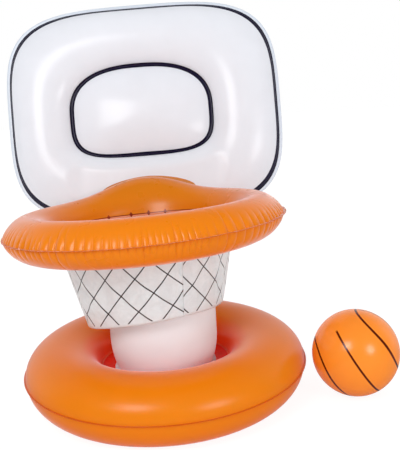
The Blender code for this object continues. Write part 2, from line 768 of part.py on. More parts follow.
# The facets counted here run from +X towards +Y, and rows run as each skin's rows do
REAR = SEGMENTS // 4

fit_valve("base", base_upper.object, base_upper.facet(4, REAR, pi))
fit_valve("column", column_wall.object, column_wall.facet(4, REAR))
fit_valve("hoop", hoop_lower.object, hoop_lower.facet(2, REAR + SEGMENTS // 6))
fit_valve("board", board_rear.object, board_rear.facet(3, BOARD_RAYS - BOARD_RAYS // 7))
fit_valve("ball", ball_skin.object, ball_skin.facet(3, BALL_SEGMENTS // 4 + 1))


# The set's frame goes to the middle of its footprint on the floor

def world_box():
    bpy.context.view_layer.update()
    graph = bpy.context.evaluated_depsgraph_get()
    low = Vector((1e9, 1e9, 1e9))
    high = -low
    for thing in bpy.context.scene.objects:
        if thing.type != "MESH" or thing.hide_render:
            continue
        for corner in thing.evaluated_get(graph).data.vertices:
            place = thing.matrix_world @ corner.co
            low = Vector(map(min, low, place))
            high = Vector(map(max, high, place))
    return low, high


low, high = world_box()
set_frame.location = Vector((-(low.x + high.x) / 2, -(low.y + high.y) / 2, -low.z))
bpy.context.view_layer.update()
print("size", *(round(1000 * side, 1) for side in high - low), "mm")
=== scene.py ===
# %% [markdown]
# # A floating basketball hoop
# The real object is a set of air chambers made of thin PVC sheet: a base ring, a column, a hoop ring and a
# backboard, with a skirt of milky film and a loose ball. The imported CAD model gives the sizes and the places.
# Here a finer skin takes the place of each CAD skin, so that the puckers, the printed lines and the sheen of
# the vinyl can be shown.

import json
from math import cos, pi, radians, sin, tan

import bpy
import numpy as np
from mathutils import Matrix, Vector


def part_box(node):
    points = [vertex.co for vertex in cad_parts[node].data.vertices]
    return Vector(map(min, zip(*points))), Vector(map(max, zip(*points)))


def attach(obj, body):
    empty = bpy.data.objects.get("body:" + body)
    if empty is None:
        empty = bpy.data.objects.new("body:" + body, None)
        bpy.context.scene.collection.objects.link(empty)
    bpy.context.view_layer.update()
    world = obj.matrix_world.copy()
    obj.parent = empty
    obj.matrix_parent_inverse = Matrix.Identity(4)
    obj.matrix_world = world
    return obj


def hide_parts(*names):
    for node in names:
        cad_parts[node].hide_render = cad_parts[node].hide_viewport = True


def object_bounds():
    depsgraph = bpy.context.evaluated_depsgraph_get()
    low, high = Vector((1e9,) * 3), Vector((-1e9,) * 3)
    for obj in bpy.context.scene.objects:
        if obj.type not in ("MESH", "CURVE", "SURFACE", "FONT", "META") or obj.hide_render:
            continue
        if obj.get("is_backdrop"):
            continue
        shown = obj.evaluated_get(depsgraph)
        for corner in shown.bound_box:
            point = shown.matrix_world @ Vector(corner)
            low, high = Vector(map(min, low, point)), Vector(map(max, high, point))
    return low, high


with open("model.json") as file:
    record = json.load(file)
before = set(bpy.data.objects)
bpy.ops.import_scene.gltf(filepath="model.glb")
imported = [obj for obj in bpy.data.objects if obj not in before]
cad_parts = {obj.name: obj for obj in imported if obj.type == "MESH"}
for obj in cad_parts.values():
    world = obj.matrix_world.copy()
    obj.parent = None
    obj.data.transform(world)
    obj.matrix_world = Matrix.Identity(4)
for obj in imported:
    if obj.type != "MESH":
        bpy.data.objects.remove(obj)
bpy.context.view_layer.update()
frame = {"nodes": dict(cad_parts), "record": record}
ring_low, ring_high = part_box("base_ring_lower_skin")
SET = Matrix.Translation(((ring_low.x + ring_high.x) / 2, (ring_low.y + ring_high.y) / 2, 0.0))
print("the middle of the base ring stands at", np.round(SET.translation, 4))

# %% [markdown]
# ## Colour and nodes
# A colour is easiest to pick as a hex value, as a paint chart gives it. Blender's shaders work in linear
# light, so one function turns it. A second small function adds a node, sets it up and wires it in one call,
# which keeps each material readable from top to bottom. Inputs are a list in the order of the sockets, or a
# dictionary where only some are set. A Map Range list reads: value, from min, from max, to min, to max.

# %% Colour and node helpers


def colour(code):
    """A hex colour such as "ea7a00" as linear red, green and blue, with an alpha of 1."""
    parts = [int(code[at:at + 2], 16) / 255 for at in (0, 2, 4)]
    return tuple([p / 12.92 if p <= 0.04045 else ((p + 0.055) / 1.055) ** 2.4 for p in parts] + [1.0])


def add(tree, kind, inputs=(), operation=None, **settings):
    """Adds one node and gives its outputs. An input is linked if it is a socket, and set if it is a value or
    a hex colour."""
    node = tree.nodes.new("ShaderNode" + kind)
    if operation:
        node.operation = operation
    for key, value in settings.items():
        setattr(node, key, value)
    for key, value in inputs.items() if isinstance(inputs, dict) else enumerate(inputs):
        if isinstance(value, bpy.types.NodeSocket):
            tree.links.new(value, node.inputs[key])
        else:
            node.inputs[key].default_value = colour(value) if isinstance(value, str) else value
    return node.outputs


def new_material(name):
    """A material with an empty node tree, and the tree."""
    material = bpy.data.materials.new(name)
    material.use_nodes = True
    material.node_tree.nodes.clear()
    return material, material.node_tree


print("orange in linear light:", np.round(colour("ea7a00"), 3))

# %% [markdown]
# ## Camera
# The photograph was taken with a long lens from a little above, turned a few degrees. The camera stands
# where the outlines of rings, board and ball fit the picture, and its lens gives the same field of view.

# %% Camera
CAMERA_AT = (0.1105, -1.820, 0.8497)
CAMERA_PITCH = 0.2203
CAMERA_ROLL = -0.0592
CAMERA_LENS = 59.2
lens = bpy.data.cameras.new("camera")
lens.lens = CAMERA_LENS
camera = bpy.data.objects.new("camera", lens)
turn = Matrix.Rotation(pi / 2 - CAMERA_PITCH, 4, "X") @ Matrix.Rotation(CAMERA_ROLL, 4, "Z")
camera.matrix_world = SET @ Matrix.Translation(CAMERA_AT) @ turn
bpy.context.scene.collection.objects.link(camera)
bpy.context.scene.camera = camera
print("camera at", np.round(camera.location, 3))

# %% [markdown]
# ## Studio
# The set stands on a white floor in a white room, lit by two soft boxes in front of it. Their reflections are
# the two soft spots that each ring shows. The room behind and below is white and gives the pale sheen at the
# rims, while the dark side of the studio behind the camera keeps the orange deep. The floor takes the
# shadows, and what the camera sees of floor and room is lifted to white.

# %% Room light
scene = bpy.context.scene
scene.view_settings.view_transform = "Standard"
scene.world = bpy.data.worlds.new("studio")
scene.world.use_nodes = True
tree = scene.world.node_tree
tree.nodes.clear()
way = add(tree, "SeparateXYZ", [add(tree, "TexCoord")["Generated"]])
behind = add(tree, "MapRange", [way["Y"], -0.05, 0.35])[0]
low = add(tree, "MapRange", [way["Z"], 0.85, 0.40])[0]
backdrop = add(tree, "Math", [behind, low], "MULTIPLY")[0]
mirrored = add(tree, "MapRange", [backdrop, 0.0, 1.0, 0.02, 1.2])[0]
plain = add(tree, "MapRange", [behind, 0.0, 1.0, 0.70, 0.86])[0]
rays = add(tree, "LightPath")
unseen = add(tree, "Mix", {0: rays["Is Glossy Ray"], 2: plain, 3: mirrored})[0]
strength = add(tree, "Mix", {0: rays["Is Camera Ray"], 2: unseen, 3: 1.0})[0]
shine = add(tree, "Background", {"Color": "ffffff", "Strength": strength})[0]
add(tree, "OutputWorld", {"Surface": shine})
print("room light set")

# %% Soft boxes
# Name, degrees from the front towards +X, degrees up, distance, width, height and power
SOFT_BOXES = (
    ("soft_box_left", -25, 34, 2.4, 0.85, 0.78, 25.0),
    ("soft_box_right", 38, 16, 2.6, 0.75, 0.72, 17.0),
)
LIT_POINT = Vector((0.0, 0.0, 0.4))
for name, azimuth, elevation, distance, width, height, power in SOFT_BOXES:
    lamp = bpy.data.lights.new(name, "AREA")
    lamp.shape, lamp.size, lamp.size_y, lamp.energy = "RECTANGLE", width, height, power
    level = cos(radians(elevation))
    away = Vector((sin(radians(azimuth)) * level, -cos(radians(azimuth)) * level, sin(radians(elevation))))
    box = bpy.data.objects.new(name, lamp)
    box.location = SET @ (LIT_POINT + away * distance)
    box.rotation_mode = "QUATERNION"
    box.rotation_quaternion = (-away).to_track_quat("-Z", "Y")
    scene.collection.objects.link(box)
print(len(SOFT_BOXES), "soft boxes hung")

# %% Floor
FLOOR_HALF = 9.0
# The floor lies a hair lower than the base, so that the two never show through each other
FLOOR_DROP = 0.0006
corners = [(FLOOR_HALF * x, FLOOR_HALF * y, 0) for x, y in ((-1, -1), (1, -1), (1, 1), (-1, 1))]
floor_mesh = bpy.data.meshes.new("floor")
floor_mesh.from_pydata(corners, [], [(0, 1, 2, 3)])
floor = bpy.data.objects.new("floor", floor_mesh)
floor.location.z = -FLOOR_DROP
scene.collection.objects.link(floor)
paper, tree = new_material("white_paper_floor")
rays = add(tree, "LightPath")
spot = add(tree, "SeparateXYZ", [add(tree, "TexCoord")["Object"]])
matt = add(tree, "BsdfDiffuse", {"Color": "f4f4f4"})[0]
glow = add(tree, "Emission", {"Color": "ffffff", "Strength": 1.12})[0]
lifted = add(tree, "MixShader", [0.80, matt, glow])[0]
# In reflections the floor is white behind the set and falls off to dark in front, as the room does
far = add(tree, "MapRange", [spot["Y"], -0.45, 0.45, 0.12])[0]
mirror = add(tree, "Emission", {"Color": "ffffff", "Strength": far})[0]
unseen = add(tree, "MixShader", [rays["Is Glossy Ray"], matt, mirror])[0]
seen = add(tree, "MixShader", [rays["Is Camera Ray"], unseen, lifted])[0]
add(tree, "OutputMaterial", {"Surface": seen})
floor_mesh.materials.append(paper)
floor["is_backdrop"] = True
print("floor laid")

# %% [markdown]
# ## Vinyl
# Every chamber is calendered PVC sheet: soft vinyl rolled out hot between steel rollers. That leaves it
# glossy, but with a faint unevenness that blurs reflections. Its IOR is about 1.53. The welds are pressed by
# a hot tool and are given a tint of their own. On the orange rings it is a shade darker than the sheet, partly
# for the pressed vinyl and partly as painted shade of the weld's flange. The print map of each skin holds, in
# metres, the way round the ring (U) and the way from its outer weld over the skin (V), so that the material
# knows where the welds are.

# %% Vinyl material
VINYL_IOR = 1.53
# Rolling leaves cloudy bands of 70 mm, soft waves of 40 mm and a grain of 1.5 mm, here as counts per metre
CLOUDS = 14.0
WAVES = 25.0
GRAIN = 650.0


def one_sheet(tree, finish, passed, passes, cover=None):
    """The output of a sheet: the share called passes comes out on the far side, in the colour called passed.
    Light that is already inside goes straight out, so its two faces act as one."""
    sent_back = add(tree, "BsdfPrincipled", {"IOR": VINYL_IOR, **finish})[0]
    through = add(tree, "BsdfTranslucent", {"Color": passed, "Normal": finish["Normal"]})[0]
    sheet = add(tree, "MixShader", [passes, sent_back, through])[0]
    clear = add(tree, "BsdfTransparent", {"Color": "ffffff"})[0]
    if cover is not None:
        sheet = add(tree, "MixShader", [cover, clear, sheet])[0]
    inside = add(tree, "NewGeometry")["Backfacing"]
    add(tree, "OutputMaterial", {"Surface": add(tree, "MixShader", [inside, sheet, clear])[0]})


def print_map(tree):
    """A skin's print map, with U as "X" and V as "Y"."""
    return add(tree, "SeparateXYZ", [add(tree, "UVMap", uv_map="print")[0]])


def calendered_vinyl(name, sheet, weld=None, glow=None, passes=0.3, roughness=0.30, gloss=0.5, sheen=0.0,
                     paint_over=None):
    """Glossy sheet with a weld tint below V = 0, which on the orange rings is partly painted shade. What passes
    through it has the colour called glow, or else the sheet's own. sheen is the pale bloom that plasticiser
    leaves on the surface, seen where it turns away. paint_over(tree, colour socket) may paint printed lines,
    painted bounce light or painted shade over the colour."""
    material, tree = new_material(name)
    place = add(tree, "TexCoord")["Object"]
    cloud = add(tree, "TexNoise", {"Vector": place, "Scale": CLOUDS, "Detail": 3.0})[0]
    tone = add(tree, "MapRange", [cloud, 0.0, 1.0, 0.965, 1.035])[0]
    # The weld tint: on the orange rings it is darker, partly for the pressed vinyl and partly as painted shade
    # of the weld's flange
    weld_share = add(tree, "MapRange", [print_map(tree)["Y"], 0.0004, -0.0004])[0]
    base = add(tree, "Mix", {0: weld_share, 6: sheet, 7: weld or sheet}, data_type="RGBA")[2]
    toned = add(tree, "VectorMath", {0: base, "Scale": tone}, "SCALE")[0]
    if paint_over:
        toned = paint_over(tree, toned)
    grain = add(tree, "TexNoise", {"Vector": place, "Scale": GRAIN, "Detail": 2.0})[0]
    wave = add(tree, "TexNoise", {"Vector": place, "Scale": WAVES, "Detail": 1.0})[0]
    fine = add(tree, "Bump", {"Strength": 0.35, "Distance": 0.00004, "Height": grain})[0]
    soft = add(tree, "Bump", {"Strength": 0.35, "Distance": 0.0004, "Height": wave, "Normal": fine})[0]
    dull = add(tree, "MapRange", [cloud, 0.0, 1.0, roughness - 0.04, roughness + 0.04])[0]
    one_sheet(tree, {
        "Base Color": toned, "Roughness": dull, "Specular IOR Level": gloss, "Sheen Weight": sheen,
        "Sheen Roughness": 0.3, "Normal": soft,
    }, glow or toned, passes)
    return material


column_vinyl = calendered_vinyl("milky_white_calendered_pvc", "f4f8fc", "f6f8fc", passes=0.22, roughness=0.42)
# The patch is the hoop's orange vinyl. Its darker, browner colour is painted shade, for it lies under the hump
shaded_patch_vinyl = calendered_vinyl("patch_shaded_orange_calendered_pvc", "d08430", glow="ff9a30", roughness=0.42)
print("two vinyls mixed")

# %% [markdown]
# ## Skins
# A skin is a grid of points: each row is a closed loop round the part, and the rows run from weld to weld.
# NumPy works out all points at once, which is quicker than a loop and allows fine meshes. The Solidify
# modifier then gives the sheet its thickness. A row that has shrunk to a point is kept as one vertex, so that
# the pole of a disc or a ball is closed.

# %% Skin builder
VINYL = 0.0004
FILM = 0.0003
GAP = 0.0003
LAYER = VINYL + GAP
POLE_SIZE = 1e-7


def run_of(grid, first):
    """How far each point is along its column, in metres, with 0 at the row called first."""
    steps = np.linalg.norm(np.diff(grid, axis=0), axis=2)
    run = np.vstack([np.zeros((1, grid.shape[1])), np.cumsum(steps, axis=0)])
    return run - run[first]


def skin(name, grid, material, thickness, prints, closed=True, matrix=SET):
    """A piece through a grid of points (rows, columns, 3), placed by a matrix and thickened on both sides."""
    rows, columns = grid.shape[:2]
    pole = [np.ptp(grid[k], axis=0).max() < POLE_SIZE for k in range(rows)]
    index = np.zeros((rows, columns), int)
    points = []
    for k in range(rows):
        index[k] = len(points) + (0 if pole[k] else np.arange(columns))
        points += [grid[k, 0]] if pole[k] else list(grid[k])
    faces, corners = [], []
    for k in range(rows - 1):
        for j in range(columns if closed else columns - 1):
            beside = (j + 1) % columns
            quad = [(k, j, j), (k, beside, j + 1), (k + 1, beside, j + 1), (k + 1, j, j)]
            if pole[k]:
                quad = quad[1:]
            elif pole[k + 1]:
                quad = quad[:3]
            faces.append([index[row, column] for row, column, _ in quad])
            corners += [(row, column) for row, _, column in quad]
    mesh = bpy.data.meshes.new(name)
    mesh.from_pydata([tuple(point) for point in points], [], faces)
    at = np.array(corners)
    mesh.uv_layers.new(name="print").data.foreach_set("uv", prints[at[:, 0], at[:, 1]].ravel())
    mesh.shade_smooth()
    mesh.materials.append(material)
    piece = bpy.data.objects.new(name, mesh)
    scene.collection.objects.link(piece)
    piece.matrix_world = matrix
    sheet = piece.modifiers.new("sheet", "SOLIDIFY")
    sheet.thickness, sheet.offset, sheet.use_even_offset = thickness, 0.0, False
    print(name, "has", len(points), "points")
    return piece


def spokes(count):
    """Angles spread evenly round a circle."""
    return np.arange(count) * 2 * pi / count


def ring(angle, radius, height):
    """Points round the z axis. Any of the three may be an array."""
    angle, radius, height = np.broadcast_arrays(angle, radius, height)
    return np.stack([radius * np.cos(angle), radius * np.sin(angle), height], axis=-1)


def ring_prints(grid, angle, radius, first):
    """The print map of a ring's skin: metres round it, and metres from its outer weld."""
    run = run_of(grid, first)
    run = np.hstack([run, run[:, :1]])
    around = np.append(angle, angle[0] + 2 * pi) * radius
    return np.stack([np.broadcast_to(around, run.shape), run], axis=-1)


print("skin builder ready")

# %% [markdown]
# ## Valve seats
# Each chamber has a push-in valve. Its flange is welded flat to the skin, so round it the skin is drawn into
# a shallow flat dimple. Each valve's place is read from its CAD flange and its pull joint, and the hole for
# it is cut with a Boolean.

# %% Valve seats
COLLAR_REACH = 0.0082
FLANGE_TOP = 0.0013
SEAT_HALF_HEIGHT = 0.02
HOLE_SIDES = 40
HOLE_HALF_DEPTH = 0.004
pulls = {joint["name"]: Vector(joint["axis"]) for joint in frame["record"]["behaviour"]["joints"]}


def valve_seat(chamber):
    """(a point on the skin's middle under the valve, the way out of the skin), in the CAD model's frame."""
    out = pulls[chamber + "_valve_pull"].normalized()
    points = [Vector(v.co) for v in frame["nodes"][chamber + "_valve_flange"].data.vertices]
    middle = sum(points, Vector()) / len(points)
    top = max((point - middle).dot(out) for point in points)
    return middle + out * (top - FLANGE_TOP - VINYL / 2), out


def smooth_share(value, low, high):
    """0 up to low, 1 from high on, and a smooth step between. Low may be the greater of the two."""
    share = np.clip((value - low) / (high - low), 0, 1)
    return share * share * (3 - 2 * share)


def seat_skin(grid, matrix, chamber, flat=0.013, blend=0.034):
    """The grid drawn down to a flat seat round the chamber's valve."""
    centre, out = valve_seat(chamber)
    back_again = matrix.inverted()
    centre = np.array(back_again @ centre)
    out = np.array(back_again.to_3x3() @ out)
    off = grid - centre
    height = off @ out
    beside = np.linalg.norm(off - height[..., None] * out, axis=-1)
    share = smooth_share(beside, blend, flat) * (np.abs(height) < SEAT_HALF_HEIGHT)
    return grid - (height * share)[..., None] * out


def cut_valve_hole(piece, chamber):
    """Cuts the valve's hole through a thickened skin, and applies its modifiers."""
    centre, out = valve_seat(chamber)
    n = HOLE_SIDES
    circle = ring(spokes(n), COLLAR_REACH, 0.0)
    points = [(x, y, z) for z in (-HOLE_HALF_DEPTH, HOLE_HALF_DEPTH) for x, y, _ in circle]
    sides = [(j, (j + 1) % n, n + (j + 1) % n, n + j) for j in range(n)]
    cutter = bpy.data.meshes.new("hole")
    cutter.from_pydata(points, [], sides + [tuple(range(n))[::-1], tuple(range(n, 2 * n))])
    hole = bpy.data.objects.new("hole", cutter)
    scene.collection.objects.link(hole)
    hole.matrix_world = Matrix.Translation(centre) @ out.to_track_quat("Z", "Y").to_matrix().to_4x4()
    cut = piece.modifiers.new("hole", "BOOLEAN")
    cut.object, cut.operation, cut.solver = hole, "DIFFERENCE", "EXACT"
    graph = bpy.context.evaluated_depsgraph_get()
    shape = bpy.data.meshes.new_from_object(piece.evaluated_get(graph))
    piece.modifiers.clear()
    piece.data = shape
    bpy.data.objects.remove(hole)
    print(piece.name, "has its valve hole,", len(shape.vertices), "points")


def settle(piece, node, body="stand"):
    """Puts the finished piece under its body's empty and hides the CAD node it stands for."""
    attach(piece, body)
    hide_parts(node)


print("base valve sits at", np.round(valve_seat("base")[0], 3))

# %% [markdown]
# ## Base ring
# Two flat rings of vinyl are welded at their outer and inner edges and blown up. The lower skin lies on a
# narrow flat band where the ring stands. The real one is pumped hard and shows almost no puckers. On the wall
# of the ring's hole the colour is painted a deeper red, as painted bounce light from sheet to sheet. A
# material can tell that wall from the distance to the middle.

# %% Base ring
BASE_OUTER_RADIUS = 0.360
BASE_TUBE_RADIUS = 0.095
BASE_HEIGHT = 0.160
BASE_SEAM_HEIGHT = 0.0855
BASE_CONTACT_HALF = 0.020
BASE_OUTER_WELD = 0.0046
BASE_INNER_WELD = 0.006
NEAR_WELD_TURNS = [0.0, 0.02, 0.05]
base_middle = BASE_OUTER_RADIUS - BASE_TUBE_RADIUS
base_inner = BASE_OUTER_RADIUS - 2 * BASE_TUBE_RADIUS
around = spokes(216)


def painted_hole_bounce(tree, toned):
    """Paints the red of light bounced from sheet to sheet onto the wall of the ring's hole."""
    place = add(tree, "TexCoord")["Object"]
    flat = add(tree, "VectorMath", [place, (1.0, 1.0, 0.0)], "MULTIPLY")[0]
    reach = add(tree, "VectorMath", [flat], "LENGTH")["Value"]
    deep = add(tree, "MapRange", [reach, base_inner + 0.045, base_inner + 0.004, 0.0, 0.8])[0]
    # Painted bounce light: the wall of the hole is mixed towards red
    return add(tree, "Mix", {0: deep, 6: toned, 7: "ff4400"}, data_type="RGBA")[2]


base_vinyl = calendered_vinyl(
    "orange_calendered_pvc", "ec9800", "d07000", "ff6a00", 0.45, gloss=0.40, sheen=0.8, paint_over=painted_hole_bounce,
)


def base_foot(turns, side):
    """The height of a skin's welds: half a layer off the seam outside, a whole one inside, for the web."""
    return BASE_SEAM_HEIGHT + side * LAYER * (0.5 + 0.5 * smooth_share(turns, 1.2, 1.9))


def base_rows(turns, heights, foot):
    """The rows of one skin, from its outer weld's edge to its inner weld's edge."""
    outer, inner = BASE_OUTER_WELD, BASE_INNER_WELD
    rows = [ring(around, BASE_OUTER_RADIUS + reach, foot[0]) for reach in (outer, outer / 2)]
    rows += [ring(around, base_middle + BASE_TUBE_RADIUS * cos(t), z) for t, z in zip(turns, heights)]
    return np.array(rows + [ring(around, base_inner - reach, foot[-1]) for reach in (inner / 2, inner)])


def base_upper_grid():
    """The skin over the crown."""
    turns = np.concatenate([NEAR_WELD_TURNS, np.linspace(0.10, pi - 0.10, 34), [pi - 0.04, pi]])
    foot = base_foot(turns, 1)
    rise = (BASE_HEIGHT - VINYL / 2 - foot) * np.sin(turns)
    return base_rows(turns, foot + rise, foot)


def base_lower_grid():
    """The skin under the ring, with the flat band that it stands on."""
    contact = np.arcsin(BASE_CONTACT_HALF / BASE_TUBE_RADIUS)
    belly = (BASE_SEAM_HEIGHT - VINYL / 2) / cos(contact)
    quarter = np.concatenate([NEAR_WELD_TURNS, np.linspace(0.10, pi / 2 - contact, 14)])
    turns = np.concatenate([quarter, [pi / 2], pi - quarter[::-1]])
    foot = base_foot(turns, -1)
    drop = np.maximum(VINYL / 2, BASE_SEAM_HEIGHT - belly * np.sin(turns))
    return base_rows(turns, np.minimum(drop, foot), foot)


grid = seat_skin(base_upper_grid(), SET, "base")
base_upper = skin("base_ring_top", grid, base_vinyl, VINYL, ring_prints(grid, around, BASE_OUTER_RADIUS, 2))
cut_valve_hole(base_upper, "base")
settle(base_upper, "base_ring_upper_skin")
grid = base_lower_grid()
prints = ring_prints(grid, around, BASE_OUTER_RADIUS, 2)
base_lower = skin("base_ring_underside", grid, base_vinyl, VINYL, prints)
settle(base_lower, "base_ring_lower_skin")

# %% [markdown]
# ## Column, its bottom disc and the web
# The column is a sleeve of milky white vinyl, drawn in at both ends where round end sheets are welded on. A
# web of thin orange film spans the base ring's hole and carries it.

# %% Column
COLUMN_RADIUS = 0.1376
COLUMN_NECK_RADIUS = 0.122
COLUMN_SHOULDER = 0.080
COLUMN_WELD = 0.010
COLUMN_END_DOME = 0.012
COLUMN_BELOW_SEAM = 0.006
COLUMN_BELOW_HOOP = 0.021
HOOP_HEIGHT = 0.459
TUCK_DEPTH = 0.0011
TUCK_REACH = 0.020
TUCK_PAIRS = 13
column_bottom = BASE_SEAM_HEIGHT - COLUMN_BELOW_SEAM + 2 * LAYER
column_top = HOOP_HEIGHT - COLUMN_BELOW_HOOP
column_edge = COLUMN_NECK_RADIUS + COLUMN_WELD
column_around = spokes(160)


def column_grid():
    """From the bottom weld's edge up to the top weld's edge, as part of the same sleeve."""
    shares = np.linspace(0, 1, 12)
    shoulder = COLUMN_SHOULDER * shares
    radius = COLUMN_NECK_RADIUS + (COLUMN_RADIUS - COLUMN_NECK_RADIUS) * (1 - (1 - shares) ** 2)
    side = np.linspace(column_bottom + COLUMN_SHOULDER, column_top - COLUMN_SHOULDER, 14)[1:-1]
    heights = np.concatenate([column_bottom + shoulder, side, column_top - shoulder[::-1]])
    radii = np.concatenate([radius, np.full(len(side), COLUMN_RADIUS), radius[::-1]])
    # The end sheets pull the sleeve into short, shallow tucks next to each weld
    near = np.exp(-(heights - column_bottom) / TUCK_REACH) + np.exp(-(column_top - heights) / TUCK_REACH)
    arches = np.abs(np.sin(TUCK_PAIRS * column_around + 0.6 * np.sin(3 * column_around)))
    tucks = TUCK_DEPTH * near[:, None] * arches
    rows = [ring(column_around, column_edge, column_bottom)]
    rows += [ring(column_around, r - t, z) for r, z, t in zip(radii, heights, tucks)]
    return np.array(rows + [ring(column_around, column_edge, column_top)])


def disc_grid(height, outward, *more):
    """A bulging round end sheet out to the column's weld, with more (radius, height) rows outside it."""
    radii = np.concatenate([np.linspace(0, COLUMN_NECK_RADIUS, 12), [column_edge]])
    bulge = COLUMN_END_DOME * np.maximum(0, 1 - (radii / COLUMN_NECK_RADIUS) ** 2)
    rows = [ring(column_around, r, height + outward * b) for r, b in zip(radii, bulge)]
    return np.array(rows + [ring(column_around, r, z) for r, z in more])


grid = seat_skin(column_grid(), SET, "column")
column = skin("column_sleeve", grid, column_vinyl, VINYL, ring_prints(grid, column_around, COLUMN_RADIUS, 1))
cut_valve_hole(column, "column")
settle(column, "column_wall")
grid = disc_grid(column_bottom - LAYER, -1)
disc = skin("column_end_sheet", grid, column_vinyl, VINYL, ring_prints(grid, column_around, COLUMN_RADIUS, 0))
settle(disc, "column_bottom_disc")

# %% [markdown]
# ## Films
# Two thinner films are used. The web in the base ring is orange and lets a little light through. The skirt
# and the hoop's floor are a milky film: clear vinyl with a trace of white, blown thin, so that what lies
# behind shows softly. The floor's film is painted an orange tint, as painted bounce light from the orange
# ring round it. A share of the light passes straight through, which a Transparent shader mixed with the glossy
# sheet gives.

# %% Film material
# Handling leaves soft creases, 8 to 30 mm apart, that catch the light. The widest come 34 to a metre.
CREASES = 34.0
# In a weld a film ends 1 mm short of the ring, and it turns away 2 mm past the weld's free edge
INSIDE_WELD = 0.001
PAST_WELD = 0.002


def blown_film(name, tint, shade, cover, passes=0.5, gloss=0.5, paint_over=None):
    """A thin film in two close tints. cover is the share of the light that the film sends back or scatters,
    and passes is how much of that share comes out on the far side."""
    material, tree = new_material(name)
    place = add(tree, "TexCoord")["Object"]
    crease = add(tree, "TexNoise", {
        "Vector": place, "Scale": CREASES, "Detail": 3.0, "Roughness": 0.55, "Distortion": 0.8,
    })[0]
    normal = add(tree, "Bump", {"Strength": 0.5, "Distance": 0.0030, "Height": crease})[0]
    covered = add(tree, "MapRange", [crease, 0.3, 0.7, cover - 0.06, cover + 0.06])[0]
    # The pigment is never quite even: one tint drifts into the other over some centimetres
    cloud = add(tree, "TexNoise", {"Vector": place, "Scale": CLOUDS, "Detail": 3.0})[0]
    painted = add(tree, "Mix", {0: cloud, 6: tint, 7: shade}, data_type="RGBA")[2]
    if paint_over:
        covered, painted = paint_over(tree, covered, painted)
    finish = {"Base Color": painted, "Roughness": 0.28, "Specular IOR Level": gloss, "Normal": normal}
    one_sheet(tree, finish, painted, passes, covered)
    return material


web_film = blown_film("orange_blown_pvc_film", "ff3000", "f82800", 0.96, passes=0.4, gloss=0.1)
# The floor film's orange tints are painted bounce light from the orange ring round it
bounce_tinted_floor_film = blown_film("milky_floor_pvc_film", "f4a878", "eca070", 0.80)
web_radii = (base_inner - BASE_INNER_WELD - PAST_WELD, base_inner - INSIDE_WELD)
grid = disc_grid(column_bottom - 2 * LAYER, -1, *[(radius, BASE_SEAM_HEIGHT) for radius in web_radii])
web = skin("base_web", grid, web_film, FILM, ring_prints(grid, column_around, base_inner, 0))
settle(web, "base_floor_web")

# %% [markdown]
# ## Hoop ring
# The hoop is made like the base, but its sheet is slacker, so its outer weld pulls the vinyl into many short
# puckers. Each pucker is a round bulge between two sharp creases that start at the weld and run out on the
# ring. The columns of the grid are set to the creases, eight to each bulge, so that the creases stay crisp
# without a mesh that is fine everywhere. Behind, the ring rises in a hump where it presses on the backboard.
# The slack sheet also lets the inner weld ride a little higher than on the plain CAD ring.

# %% Hoop shape
HOOP_OUTER_RADIUS = 0.349
HOOP_TUBE_RADIUS = 0.061
HOOP_TUBE_HALF_HEIGHT = 0.0535
HOOP_REAR_SLACK = 0.235
HOOP_OUTER_WELD = 0.0066
HOOP_INNER_WELD = 0.0065
HOOP_INNER_WELD_ANGLE = radians(8)
HOOP_INNER_WELD_DROP = radians(63)
HUMP_LIFT = 0.018
HUMP_SWELL = 0.025
HUMP_LEAN = 0.026
HUMP_HALF_WIDTH = 0.1225
HUMP_SHIFT = -0.0133
HUMP_SHARPNESS = 2.27
SLACK_EDGE = 0.30
PRESS_DEPTH = 0.028
PRESS_FROM = 0.3
PRESSED_WELD = 0.001
BOARD_RISE = 0.275
BOARD_LEAN = radians(10)
BOARD_CONTACT_DEPTH = 0.035
hoop_middle = HOOP_OUTER_RADIUS - HOOP_TUBE_RADIUS
hoop_pose = Matrix.Translation((-0.029, 0.0, HOOP_HEIGHT))
hoop_pose = hoop_pose @ Matrix.Rotation(radians(-2.2), 4, "Y") @ Matrix.Rotation(radians(-3.6), 4, "X")
contact_offset = BOARD_CONTACT_DEPTH + VINYL / 2 + LAYER + GAP + LAYER / 2
board_behind = HOOP_OUTER_RADIUS - PRESS_DEPTH + contact_offset / cos(BOARD_LEAN)
board_behind += BOARD_RISE * tan(BOARD_LEAN)


def hump(angle):
    """1 at the rear, falling to 0 on both sides."""
    beside = np.abs(hoop_middle * np.cos(angle) - HUMP_SHIFT)
    return np.where(np.sin(angle) > 0, np.exp(-((beside / HUMP_HALF_WIDTH) ** HUMP_SHARPNESS)), 0.0)


def inner_share(turn):
    """1 on the section's outer half, falling to 0 at its inner weld."""
    foot = sin(HOOP_INNER_WELD_ANGLE)
    if abs(turn) <= pi / 2:
        return 1.0
    return (sin(turn) + foot) / (1 + foot) if turn > 0 else (-sin(turn) - foot) / (1 - foot)


def hump_lean(turn):
    """How far back the hump leans at a point of the section: most on top, and not at the welds."""
    if turn < 0:
        return 0.0
    return HUMP_LEAN * (sin(turn) if turn < pi / 2 else inner_share(turn))


def press_radius(angle, height):
    """How far out the ring may reach before it meets the leaning backboard."""
    plane = board_behind - contact_offset / cos(BOARD_LEAN) - (BOARD_RISE - height) * tan(BOARD_LEAN)
    rear = np.maximum(np.sin(angle), PRESS_FROM)
    return np.where(np.sin(angle) < PRESS_FROM, 2 * HOOP_OUTER_RADIUS, plane / rear)


